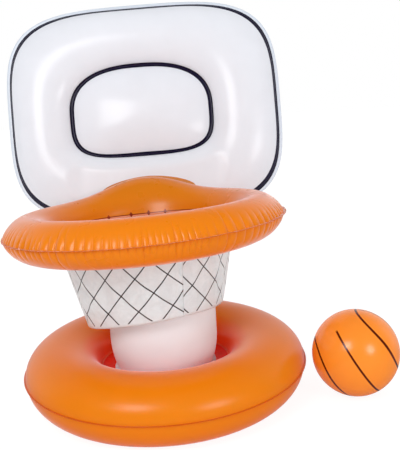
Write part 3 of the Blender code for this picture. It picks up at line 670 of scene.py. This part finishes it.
def hoop_section(angle, turn, layer):
    """(radius, height) of the ring's section: turn 0 is the outer side and pi/2 the top."""
    lift = hump(angle)
    slack = np.where(np.sin(turn) > 0, HOOP_REAR_SLACK * (1 + np.sin(angle)) / 2, 0.0)
    half_height = HOOP_TUBE_HALF_HEIGHT * (1 - slack) + HUMP_SWELL * lift
    height = HUMP_LIFT * lift * inner_share(turn) + half_height * np.sin(turn) + layer
    radius = hoop_middle + HOOP_TUBE_RADIUS * np.cos(turn) + hump_lean(turn) * lift
    return np.minimum(radius, press_radius(angle, height) - PRESSED_WELD), height


def inner_weld(angle, layer, along):
    """(radius, height) in the inner weld, which holds the ring's skins, the hoop's floor and the skirt."""
    radius, height = hoop_section(angle, pi + HOOP_INNER_WELD_ANGLE, 0.0)
    inward, down = cos(HOOP_INNER_WELD_DROP), sin(HOOP_INNER_WELD_DROP)
    radius = radius - inward * along - down * layer * LAYER
    return radius, height - down * along + inward * layer * LAYER


print("hoop pose found")

# %% Puckers
# Bulges seen in front, as degrees round the ring, and the tall ones among them. The others follow at random,
# from a fixed seed, 14 to 28 mm apart.
FRONT_BULGES = (
    242.5, 246.6, 250.9, 254.1, 257.7, 261.2, 263.7, 266.5, 269.6, 272.1, 274.8, 276.9, 279.3, 281.2, 283.1,
    286.5, 288.5, 291.1, 293.4, 295.5, 299.1, 302.8, 307.4, 311.8, 316.0, 320.9,
)
TALL_BULGES = (242.5, 274.8, 286.5, 307.4)
NARROWEST, WIDEST = 2.3, 4.5
BULGE_SHARES = np.array([0.0, 0.06, 0.17, 0.33, 0.5, 0.67, 0.83, 0.94])
WELD_WAVE = 0.0009
dice = np.random.default_rng(7)
creases = [(a + b) / 2 for a, b in zip(FRONT_BULGES, FRONT_BULGES[1:])]
while creases[-1] < creases[0] + 360 - NARROWEST - WIDEST:
    creases.append(creases[-1] + dice.uniform(NARROWEST, WIDEST))
creases = np.radians(np.array(creases))
count = len(creases)
widths = np.diff(np.append(creases, creases[0] + 2 * pi))
hoop_around = (creases[:, None] + widths[:, None] * BULGE_SHARES).ravel()
bulge_of = np.repeat(np.arange(count), len(BULGE_SHARES))
bulge_share = np.tile(BULGE_SHARES, count)
middles = np.degrees(creases + widths / 2) % 360
tall = np.array([min(abs(middle - t) for t in TALL_BULGES) < 1.0 for middle in middles])
reach = np.where(tall, radians(44), np.radians(dice.uniform(22, 34, count)))
depth = np.where(tall, 0.0044, dice.uniform(0.0022, 0.0038, count)) * np.clip(widths / 0.06, 0.5, 1.25)
steps = np.arange(len(hoop_around))
weld_wave = WELD_WAVE * np.interp(steps, steps[::len(BULGE_SHARES)], dice.uniform(-1, 1, count))
print(count, "puckers,", len(hoop_around), "columns")


def pucker(angle_from_weld):
    """How far each column stands out of the plain ring, at an angle up or down from the outer weld."""
    fade = np.exp(-((angle_from_weld / reach) ** 2.4))
    arch = 1 - np.abs(2 * bulge_share - 1) ** 2.8
    round_off = np.clip(angle_from_weld / radians(4), 0, 1) * 0.7 + 0.3
    return (depth * fade)[bulge_of] * (arch - 0.72) * round_off


# %% [markdown]
# ## Inner weld
# Along the hoop's inner weld the sheet turns in sharply, and little light gets into that groove. A few short
# notches show where the welding tool pinched the sheet into folds that lie in shade. Both are painted as a
# dark line of shade from the print map.

# %% Hoop material
INNER_WELD_AT = 0.200
NOTCHES = [radians(angle + 360) for angle in (79.0, 91.0, 103.5, 120.0)]
NOTCH_WIDTH = 0.007
NOTCH_DEPTH = 0.006
GROOVE_HALF = 0.0013
GROOVE_BLUR = 0.0004


def off_by(tree, value, middle):
    """How far a value is from a middle one, on either side."""
    off = add(tree, "Math", [value, middle], "SUBTRACT")[0]
    return add(tree, "Math", [off], "ABSOLUTE")[0]


def band(tree, value, middle, half, blur):
    """A line's mark: 1 where a value is within half of a middle one, and 0 outside, with a blurred edge."""
    return add(tree, "MapRange", [off_by(tree, value, middle), half + blur, half - blur])[0]


def painted_groove_shade(tree, toned):
    """Paints shade into the groove at the inner weld, wider at each notch, and lightens the weld's free edge.
    """
    uv = print_map(tree)
    wide = GROOVE_HALF
    for notch in NOTCHES:
        beside = off_by(tree, uv["X"], notch * HOOP_OUTER_RADIUS)
        more = add(tree, "MapRange", [beside, 0.0, NOTCH_WIDTH, NOTCH_DEPTH, 0.0])[0]
        wide = add(tree, "Math", [wide, more], "ADD")[0]
    past = add(tree, "Math", [off_by(tree, uv["Y"], INNER_WELD_AT - 0.001), wide], "SUBTRACT")[0]
    line = add(tree, "MapRange", [past, GROOVE_BLUR, -GROOVE_BLUR])[0]
    free = add(tree, "MapRange", [uv["Y"], INNER_WELD_AT + 0.0006, INNER_WELD_AT + 0.0012])[0]
    pale = add(tree, "Mix", {0: free, 6: toned, 7: "f6a77e"}, data_type="RGBA")[2]
    # Painted shade: the groove and its notches are mixed towards dark brown
    return add(tree, "Mix", {0: line, 6: pale, 7: "6a2400"}, data_type="RGBA")[2]


hoop_vinyl = calendered_vinyl(
    "hoop_orange_calendered_pvc", "e48c00", "d07400", "ff6c00", 0.35, roughness=0.28, gloss=0.42,
    sheen=0.8, paint_over=painted_groove_shade,
)

# %% Hoop skins
# Degrees round the section: rows lie close together next to the outer weld
NEAR_TURNS = (0, 1.5, 3.5, 6, 9, 13, 17, 22, 27, 33, 39, 46, 54, 62)
# On the left the outer weld is rolled under and hardly shows
ROLLED_AT = 182
ROLLED_SPREAD = 25
ROLLED_SHARE = 0.75
SCALLOP = 2.0
PRESS_MARGIN = 0.004


def hoop_grid(upper):
    """From the outer weld's edge over or under the ring to the inner weld's edge, in the hoop's own frame."""
    side = 1 if upper else -1
    last = pi + side * HOOP_INNER_WELD_ANGLE
    turns = np.concatenate([np.radians(NEAR_TURNS), np.linspace(radians(71), last - radians(8), 15)])
    layer = side * LAYER / 2
    lift = hump(hoop_around)
    # The weld itself is drawn in and out, and up and down, by the puckers
    scallop = pucker(0.0) * SCALLOP
    aside = (np.degrees(hoop_around) % 360 - ROLLED_AT) / ROLLED_SPREAD
    rolled = 1 - ROLLED_SHARE * np.exp(-aside ** 2)
    rows = []
    for out in (HOOP_OUTER_WELD, HOOP_OUTER_WELD / 2, 0.0005):
        height = HUMP_LIFT * lift + layer + weld_wave * (0.4 + out / HOOP_OUTER_WELD)
        edge = np.minimum(HOOP_OUTER_RADIUS + out * rolled + scallop, press_radius(hoop_around, height))
        rows.append(ring(hoop_around, edge, height))
    for turn in turns:
        radius, height = hoop_section(hoop_around, side * turn, layer)
        # A slack ring's section is a little pointed at its outer weld, less so below and where the hump is
        pointed = HOOP_TUBE_RADIUS * max(0.0, cos(turn) + sin(turn) - 1) * (1.0 if upper else 0.4)
        radius = radius - SLACK_EDGE * pointed * (1 - lift)
        out = pucker(turn) * (0.35 + 0.65 * np.cos(min(turn, pi / 2)))
        out = np.where(press_radius(hoop_around, height) < radius + PRESS_MARGIN, 0.0, out)
        near = np.exp(-turn / radians(4))
        shifted = radius + out * np.cos(turn) + scallop * near
        rows.append(ring(hoop_around, shifted, height + side * out * np.sin(turn) + weld_wave * 0.4 * near))
    ends = [inner_weld(hoop_around, side * 1.5, along) for along in (0.0, HOOP_INNER_WELD)]
    return np.array(rows + [ring(hoop_around, *end) for end in ends])


def hoop_prints(grid):
    """The ring's print map, with its inner weld at the same V all round."""
    prints = ring_prints(grid, hoop_around, HOOP_OUTER_RADIUS, 3)
    prints[..., 1] *= INNER_WELD_AT / prints[-2, :, 1]
    return prints


hoop_place = SET @ hoop_pose
grid = hoop_grid(True)
hoop_upper = skin("hoop_ring_top", grid, hoop_vinyl, VINYL, hoop_prints(grid), matrix=hoop_place)
settle(hoop_upper, "hoop_ring_upper_skin")
grid = seat_skin(hoop_grid(False), hoop_place, "hoop")
hoop_lower = skin("hoop_ring_underside", grid, hoop_vinyl, VINYL, hoop_prints(grid), matrix=hoop_place)
cut_valve_hole(hoop_lower, "hoop")
settle(hoop_lower, "hoop_ring_lower_skin")

# %% [markdown]
# ## Hoop floor
# One film closes the column's top and reaches out to the hoop ring's inner weld.

# %% Hoop floor


def weld_loop(angle, layer, along):
    """A loop of points in the hoop's inner weld, in the set's frame."""
    points = ring(angle, *inner_weld(angle, layer, along))
    return points @ np.array(hoop_pose.to_3x3()).T + np.array(hoop_pose.translation)


inside = disc_grid(column_top + LAYER, 1)
outside = weld_loop(column_around, 0.5, HOOP_INNER_WELD + PAST_WELD)
spread = [inside[-1] * (1 - share) + outside * share for share in np.linspace(0.12, 1.0, 9)]
grid = np.array([*inside, *spread, weld_loop(column_around, 0.5, INSIDE_WELD)])
prints = ring_prints(grid, column_around, hoop_middle, 0)
hoop_floor = skin("hoop_floor_sheet", grid, bounce_tinted_floor_film, FILM, prints)
settle(hoop_floor, "hoop_floor")

# %% [markdown]
# ## Net skirt
# The skirt is one strip of milky film, printed with slanting lines as a net, laid round the hoop's inner weld
# with its ends overlapping by a finger's width. It narrows to the column and is tucked in to a hem on it. The
# print map counts the net's meshes round (U) and down (V), so the lines are where two simple sums of U and V
# are whole numbers.

# %% Net print
LINE_WIDTH = 0.0030
MESH_WIDTH = 0.056
PRINT_END = 2.72


def net_lines(tree, covered, painted):
    """Adds the printed net to a film's cover and colour."""
    uv = print_map(tree)
    half_down = add(tree, "Math", [uv["Y"], 0.5], "MULTIPLY")[0]
    half = LINE_WIDTH / MESH_WIDTH / 2
    marks = []
    for combined in ("ADD", "SUBTRACT"):
        slant = add(tree, "Math", [uv["X"], half_down], combined)[0]
        moved = add(tree, "Math", [slant, 0.5], "ADD")[0]
        marks.append(band(tree, add(tree, "Math", [moved], "FRACT")[0], 0.5, half, half / 4))
    line = add(tree, "Math", marks, "MAXIMUM")[0]
    # The print stops short of the hem
    printed = add(tree, "MapRange", [uv["Y"], PRINT_END, PRINT_END - 0.03])[0]
    line = add(tree, "Math", [line, printed], "MULTIPLY")[0]
    ink = add(tree, "Math", [line, 0.96], "MULTIPLY")[0]
    cover = add(tree, "Math", [covered, ink], "MAXIMUM")[0]
    return cover, add(tree, "Mix", {0: line, 6: painted, 7: "1c0e1a"}, data_type="RGBA")[2]


net_film = blown_film("milky_blown_pvc_film", "f4fcff", "e8f2f6", 0.80, passes=0.22, paint_over=net_lines)

# %% Net skirt
NET_SEAM = radians(293)
NET_OVERLAP = radians(3.4)
NET_BOTTOM_RADIUS = 0.1755
NET_BOTTOM_HEIGHT = 0.218
NET_BOTTOM_TILT = (0.021, -0.034)
NET_BOTTOM_SHIFT = np.array([-0.0175, 0.0, 0.0])
LAP_LIFT = 0.0008
HEM_DROP = 0.004
HEM_HEIGHT = 0.006
# How the meshes are spread round: degrees from the front, and the count of meshes there, going left
MESH_AZIMUTH = (23.0, -90.0, -298.4, -337.0)
MESH_COUNT = (1.354, -3.976, -14.0, -16.0)
# Where a row of crossings lies (V = 0) and how much each mesh takes, as shares of the way down the skirt
CROSSING_AT = 0.413
MESH_SHARE = 0.2055
net_turn = np.linspace(-NET_OVERLAP, 2 * pi, 300)
net_angle = NET_SEAM - net_turn


def net_bottom(angle):
    """The skirt's lower edge, before it turns in to the column."""
    height = NET_BOTTOM_HEIGHT + NET_BOTTOM_TILT[0] * np.cos(angle) + NET_BOTTOM_TILT[1] * np.sin(angle)
    return ring(angle, NET_BOTTOM_RADIUS, height) + NET_BOTTOM_SHIFT


def net_grid():
    """From inside the hoop's inner weld down to the hem's end."""
    top = weld_loop(net_angle, -0.5, HOOP_INNER_WELD + PAST_WELD)
    bottom = net_bottom(net_angle)
    # The strip's first end lies on its other end, a little further out
    outer = np.where(net_turn < NET_OVERLAP, LAP_LIFT, 0.0)[:, None] * ring(net_angle, 1.0, 0.0)
    rows = [weld_loop(net_angle, -0.5, INSIDE_WELD), top]
    # Seven broad folds run down the skirt, with two rounds of small wrinkles between them
    wrinkle = 0.0016 * np.sin(19 * net_angle + 1.3) + 0.0012 * np.sin(31 * net_angle + 0.4)
    for share in np.linspace(0, 1, 31)[1:]:
        fold = 0.0025 * np.sin(7 * net_angle) * sin(pi * share * 0.8)
        small = wrinkle * sin(pi * share) * (0.4 + 0.6 * share)
        point = top * (1 - share) + bottom * share
        rows.append(point + ring(net_angle, fold + small, 0.0) + outer * min(1.0, 4 * share))
    hem = COLUMN_RADIUS + VINYL / 2 + GAP + FILM / 2
    seat = ring(net_angle, hem, bottom[:, 2] - HEM_DROP)
    rows += [bottom * (1 - share) + seat * share + outer for share in (0.08, 0.35, 0.7)]
    return np.array(rows + [seat + outer * 0.5, seat - np.array([0, 0, HEM_HEIGHT]) + outer * 0.5])


def mesh_count(azimuth):
    """The count of meshes at an azimuth. Past both ends of the table it goes on as straight as before."""
    count = np.interp(-azimuth, -np.array(MESH_AZIMUTH), MESH_COUNT)
    for end, inner, past in ((0, 1, azimuth > MESH_AZIMUTH[0]), (3, 2, azimuth < MESH_AZIMUTH[3])):
        slope = (MESH_COUNT[end] - MESH_COUNT[inner]) / (MESH_AZIMUTH[end] - MESH_AZIMUTH[inner])
        count = np.where(past, MESH_COUNT[end] + (azimuth - MESH_AZIMUTH[end]) * slope, count)
    return count


def net_prints(grid):
    """Meshes round and down, so that the lines cross where the real print's do."""
    run = np.clip(run_of(grid, 1) / np.linalg.norm(net_bottom(net_angle) - grid[1], axis=1), 0, 1.2)
    azimuth = np.degrees(net_angle) - 270
    # The meshes keep their width while the skirt narrows, so they spread from a middle on each side
    narrow = np.interp(run, [0, CROSSING_AT, 0.619, 0.824, 1.0], [0.88, 1.0, 1.09, 1.198, 1.30])
    middle = np.where(azimuth > -157.0, 3.4, -332.0)
    spread = 1 + (narrow - 1) * (1 - smooth_share(np.abs(azimuth - middle), 70, 130))
    count = mesh_count(middle + (azimuth - middle) / spread)
    return np.stack([count, (run - CROSSING_AT) / MESH_SHARE], axis=-1)


grid = net_grid()
net = skin("net_skirt_film", grid, net_film, FILM, net_prints(grid), closed=False)
settle(net, "net_skirt")

# %% [markdown]
# ## Backboard
# Two white sheets are welded round the edge and again round a middle pillow, so the board is a puffed frame
# with a puffed centre. A dark line is printed along each weld. On the real board the outer line lies on the
# weld itself and just inside a margin of clear vinyl.

# %% Printed board
LINE_BLUR = 0.0003
OUTER_LINE_AT = 0.0074
OUTER_LINE_HALF = 0.0096
INNER_LINE_HALF = 0.0098


def board_lines(tree, toned):
    """Adds the two printed lines, from the metres that the print map gives from each weld."""
    uv = print_map(tree)
    outer = band(tree, uv["Y"], OUTER_LINE_AT, OUTER_LINE_HALF, LINE_BLUR)
    inner = band(tree, uv["X"], 0.0, INNER_LINE_HALF, LINE_BLUR)
    line = add(tree, "Math", [outer, inner], "MAXIMUM")[0]
    margin = add(tree, "MapRange", [uv["Y"], -0.0022, -0.0030])[0]
    clear = add(tree, "Mix", {0: margin, 6: toned, 7: "dfe6f0"}, data_type="RGBA")[2]
    return add(tree, "Mix", {0: line, 6: clear, 7: "1a1430"}, data_type="RGBA")[2]


board_sheet = {"passes": 0.2, "roughness": 0.22, "gloss": 0.25}
board_vinyl = calendered_vinyl("white_calendered_pvc", "eaecf2", paint_over=board_lines, **board_sheet)
board_rear_vinyl = calendered_vinyl("white_rear_calendered_pvc", "eaecf2", "e4eaf2", **board_sheet)

# %% Backboard
# Width, height and squareness of each outline. The pillow is arched above and squarer below.
BOARD_SIZE = (0.794, 0.618, 3.82)
PILLOW_LOW_HEIGHT = 0.261
board_around = spokes(240)
arched = np.sin(board_around) > 0
PILLOW_SIZE = (0.419, np.where(arched, 0.277, PILLOW_LOW_HEIGHT), np.where(arched, 2.5, 4.0))
BOARD_FLANGE = 0.011
BOARD_FRAME_DEPTH = 0.044
PILLOW_DEPTH = 0.036
PILLOW_WELD = 0.008
PILLOW_SHIFT = -0.009
BOARD_CONTACT_HALF_WIDTH = 0.190
PILLOW_ROWS = 18
FLANGE_REACHES = (0.0025, 0.006, BOARD_FLANGE)
board_pose = hoop_pose @ Matrix.Translation((0.003, board_behind, BOARD_RISE))
board_pose = board_pose @ Matrix.Rotation(radians(0.9), 4, "Y") @ Matrix.Rotation(-BOARD_LEAN, 4, "X")


def outline(angle, size, grow=0.0, shift=0.0):
    """Points on a rounded rectangle in the board's plane, grown outwards."""
    width, height, squareness = size
    across = np.abs(np.cos(angle)) / (width / 2)
    upwards = np.abs(np.sin(angle)) / (height / 2)
    reach = (across ** squareness + upwards ** squareness) ** (-1 / squareness) + grow
    return np.stack([shift + reach * np.cos(angle), np.zeros_like(angle), reach * np.sin(angle)], axis=-1)


def board_grid(front):
    """From the middle of the pillow over its weld and the frame to the edge of the flange."""
    side = -1 if front else 1
    depths, rows = [], []
    inner_edge, frame_edge = [
        outline(board_around, PILLOW_SIZE, grow, PILLOW_SHIFT) for grow in (-PILLOW_WELD / 2, PILLOW_WELD / 2)
    ]
    outer_edge = outline(board_around, BOARD_SIZE)
    centre = np.array([PILLOW_SHIFT, 0.0, 0.0])
    for share in np.sin(np.linspace(0, pi / 2, PILLOW_ROWS)):
        rows.append(centre * (1 - share) + inner_edge * share)
        depths.append(np.full(len(board_around), PILLOW_DEPTH * max(0.0, 1 - share ** 2) ** 0.7))
    for share in (1 - np.cos(np.linspace(0, pi, 34))) / 2:
        point = frame_edge * (1 - share) + outer_edge * share
        # The corners are pulled flatter than the sides
        way = np.arctan2(point[:, 2] * BOARD_SIZE[0], point[:, 0] * BOARD_SIZE[1])
        flatter = 0.20 * np.abs(np.sin(2 * way)) ** 6 * (share > 0.5)
        deep = BOARD_FRAME_DEPTH * max(1e-9, 1 - (2 * share - 1) ** 2) ** (0.60 + flatter)
        if front:
            # The hoop's hump presses the lower part of the frame flat
            beside = np.maximum(0, np.abs(point[:, 0]) - BOARD_CONTACT_HALF_WIDTH)
            limit = np.where(point[:, 2] > 0, BOARD_FRAME_DEPTH, BOARD_CONTACT_DEPTH + 4 * beside ** 2)
            deep = np.minimum(deep, limit)
        rows.append(point)
        depths.append(deep)
    rows += [outline(board_around, BOARD_SIZE, grow) for grow in FLANGE_REACHES]
    depths += [np.zeros(len(board_around)) for _ in FLANGE_REACHES]
    grid = np.array(rows)
    grid[..., 1] = side * (LAYER / 2 + np.array(depths))
    return grid


def board_prints(grid):
    """Metres from the pillow's weld (U) and from the outer weld (V), both along the skin."""
    inner = run_of(grid, PILLOW_ROWS)
    middle = (inner[PILLOW_ROWS - 1] + inner[PILLOW_ROWS]) / 2
    outer = -run_of(grid, len(grid) - 1 - len(FLANGE_REACHES))
    both = np.stack([inner - middle, outer], axis=-1)
    return np.concatenate([both, both[:, :1]], axis=1)


board_place = SET @ board_pose
grid = board_grid(True)
board_front = skin("backboard_front_sheet", grid, board_vinyl, VINYL, board_prints(grid), matrix=board_place)
settle(board_front, "backboard_front_skin")
grid = seat_skin(board_grid(False), board_place, "board")
prints = board_prints(grid)
board_rear = skin("backboard_rear_sheet", grid, board_rear_vinyl, VINYL, prints, matrix=board_place)
cut_valve_hole(board_rear, "board")
settle(board_rear, "backboard_rear_skin")

# %% [markdown]
# ## Patch
# A small oval of the hoop's orange vinyl joins hoop and board. Only its upper edge shows above the hump. It is
# painted a darker, browner orange than the hoop, as painted shade.

# %% Patch
PATCH_SIZE = (0.282, 0.082, 1.7)
PATCH_SHIFT = -0.0034
PATCH_DROP = 0.018
PATCH_RADIUS = 0.1
patch_around = spokes(96)
frame_middle = -(BOARD_SIZE[1] + PILLOW_LOW_HEIGHT + PILLOW_WELD) / 4
patch_depth = LAYER / 2 + BOARD_CONTACT_DEPTH + LAYER
patch_centre = np.array([PATCH_SHIFT, -patch_depth, frame_middle - PATCH_DROP])
patch_edge = outline(patch_around, PATCH_SIZE)
grid = np.array([patch_centre + patch_edge * share for share in (0.0, 0.3, 0.6, 0.85, 0.97, 1.0)])
prints = ring_prints(grid, patch_around, PATCH_RADIUS, 0)
patch = skin("mounting_patch", grid, shaded_patch_vinyl, VINYL, prints, matrix=board_place)
settle(patch, "hoop_mounting_patch")

# %% [markdown]
# ## Ball
# The ball is a small inflated one, printed with the usual basketball lines: one straight round, two bent ones
# beside it and one across. The lines are worked out from directions on the ball, measured along its axis
# and round it, so no picture is needed. A bent line swings to and fro about a fixed place on the axis.

# %% Ball material
BALL_RADIUS = 0.1085
BALL_AXIS = Vector((0.8368, -0.0969, 0.5389)).normalized()
BALL_FRONT = Vector((-0.3070, -0.8980, 0.3152)).normalized()
BALL_SIDE = BALL_AXIS.cross(BALL_FRONT)
BALL_ACROSS = BALL_FRONT * cos(radians(12)) + BALL_SIDE * sin(radians(12))
BALL_LINE = 0.0050
# Place on the axis, and the swing with the turn's sine and with twice the turn's cosine and sine
BENT_LINES = ((-0.639, -0.001, -0.038, -0.044), (0.653, 0.034, 0.057, 0.039))


def ball_lines(tree, toned):
    """Adds the printed lines to the ball's colour."""
    out = add(tree, "VectorMath", [add(tree, "TexCoord")["Object"]], "NORMALIZE")[0]
    along, ahead, beside, across = [
        add(tree, "VectorMath", [out, tuple(way)], "DOT_PRODUCT")["Value"]
        for way in (BALL_AXIS, BALL_FRONT, BALL_SIDE, BALL_ACROSS)
    ]
    turned = add(tree, "Math", [beside, ahead], "ARCTAN2")[0]
    double = add(tree, "Math", [turned, 2.0], "MULTIPLY")[0]
    waves = [
        add(tree, "Math", [value], wave)[0]
        for value, wave in ((turned, "SINE"), (double, "COSINE"), (double, "SINE"))
    ]
    # The line across is printed on one half of the ball, and on the other only beyond the bent line
    on_half = add(tree, "MapRange", [turned, -0.1, 0.1])[0]
    beyond = add(tree, "MapRange", [along, 0.600, 0.612])[0]
    across_shown = add(tree, "Math", [on_half, beyond], "MAXIMUM")[0]
    # The straight line's print is broken for a stretch near the top
    straight_shown = add(tree, "MapRange", [turned, radians(-39), radians(-36)])[0]
    lines = [(along, 0.0, straight_shown), (across, 0.0, across_shown)]
    for middle, *swings in BENT_LINES:
        bent = along
        for wave, swing in zip(waves, swings):
            bent = add(tree, "Math", [wave, -swing, bent], "MULTIPLY_ADD")[0]
        lines.append((bent, middle, 1.0))
    half = BALL_LINE / BALL_RADIUS / 2
    inked = 0.0
    for value, middle, shown in lines:
        mark = band(tree, value, middle, half, 0.2 * half)
        mark = add(tree, "Math", [mark, shown], "MULTIPLY")[0]
        inked = add(tree, "Math", [inked, mark], "MAXIMUM")[0]
    return add(tree, "Mix", {0: inked, 6: toned, 7: "5a1600"}, data_type="RGBA")[2]


ball_vinyl = calendered_vinyl("ball_orange_calendered_pvc", "ff9c30", roughness=0.24, paint_over=ball_lines)

# %% Ball
ball_low, ball_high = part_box("ball_skin")
ball_place = Matrix.Translation((ball_low + ball_high) / 2)
ball_around = spokes(120)
shell = BALL_RADIUS - VINYL / 2
grid = np.array([
    ring(ball_around, shell * sin(slope) if 0 < slope < pi else 0.0, shell * cos(slope))
    for slope in np.linspace(0, pi, 61)
])
grid = seat_skin(grid, ball_place, "ball", blend=0.026)
prints = ring_prints(grid, ball_around, BALL_RADIUS, 0)
ball = skin("ball_shell", grid, ball_vinyl, VINYL, prints, matrix=ball_place)
cut_valve_hole(ball, "ball")
settle(ball, "ball_skin", body="ball")

# %% [markdown]
# ## Valves
# The valves are moulded from soft clear vinyl. Their CAD shapes are right, so they stay and only get a small
# round on their edges and a material: a soft, slightly cloudy plastic that lets light in.

# %% Valve finish
MOULD_CLOUDS = 260.0
EDGE_ROUND = 0.00018
valve_vinyl, tree = new_material("clear_moulded_soft_pvc")
place = add(tree, "TexCoord")["Object"]
cloud = add(tree, "TexNoise", {"Vector": place, "Scale": MOULD_CLOUDS, "Detail": 2.0})[0]
tint = add(tree, "Mix", {0: cloud, 6: "e9e7e0", 7: "dcdad2"}, data_type="RGBA")[2]
skin_bump = add(tree, "Bump", {"Strength": 0.3, "Distance": 0.0001, "Height": cloud})[0]
shader = add(tree, "BsdfPrincipled", {
    "Base Color": tint, "Roughness": 0.32, "IOR": VINYL_IOR, "Normal": skin_bump,
    "Subsurface Weight": 0.35, "Subsurface Radius": (0.004, 0.004, 0.004), "Subsurface Scale": 1.0,
})[0]
add(tree, "OutputMaterial", {"Surface": shader})
valves = [node for name, node in frame["nodes"].items() if "_valve_" in name]
for node in valves:
    node.data.materials.clear()
    node.data.materials.append(valve_vinyl)
    rounded = node.modifiers.new("rounded", "BEVEL")
    rounded.width, rounded.segments, rounded.limit_method = EDGE_ROUND, 2, "ANGLE"
print(len(valves), "valve pieces finished")

# %% [markdown]
# ## What is soft, and how big it is
# The skins are tight with air. The films are sheets: the skirt hangs, and the web and the floor are stretched.
# The area of each film is printed.

for piece in (net, hoop_floor, web):
    print(piece.name, "covers", round(sum(face.area for face in piece.data.polygons), 3), "square metres")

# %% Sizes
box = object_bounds()
print("visual box", np.round(box, 4).tolist())
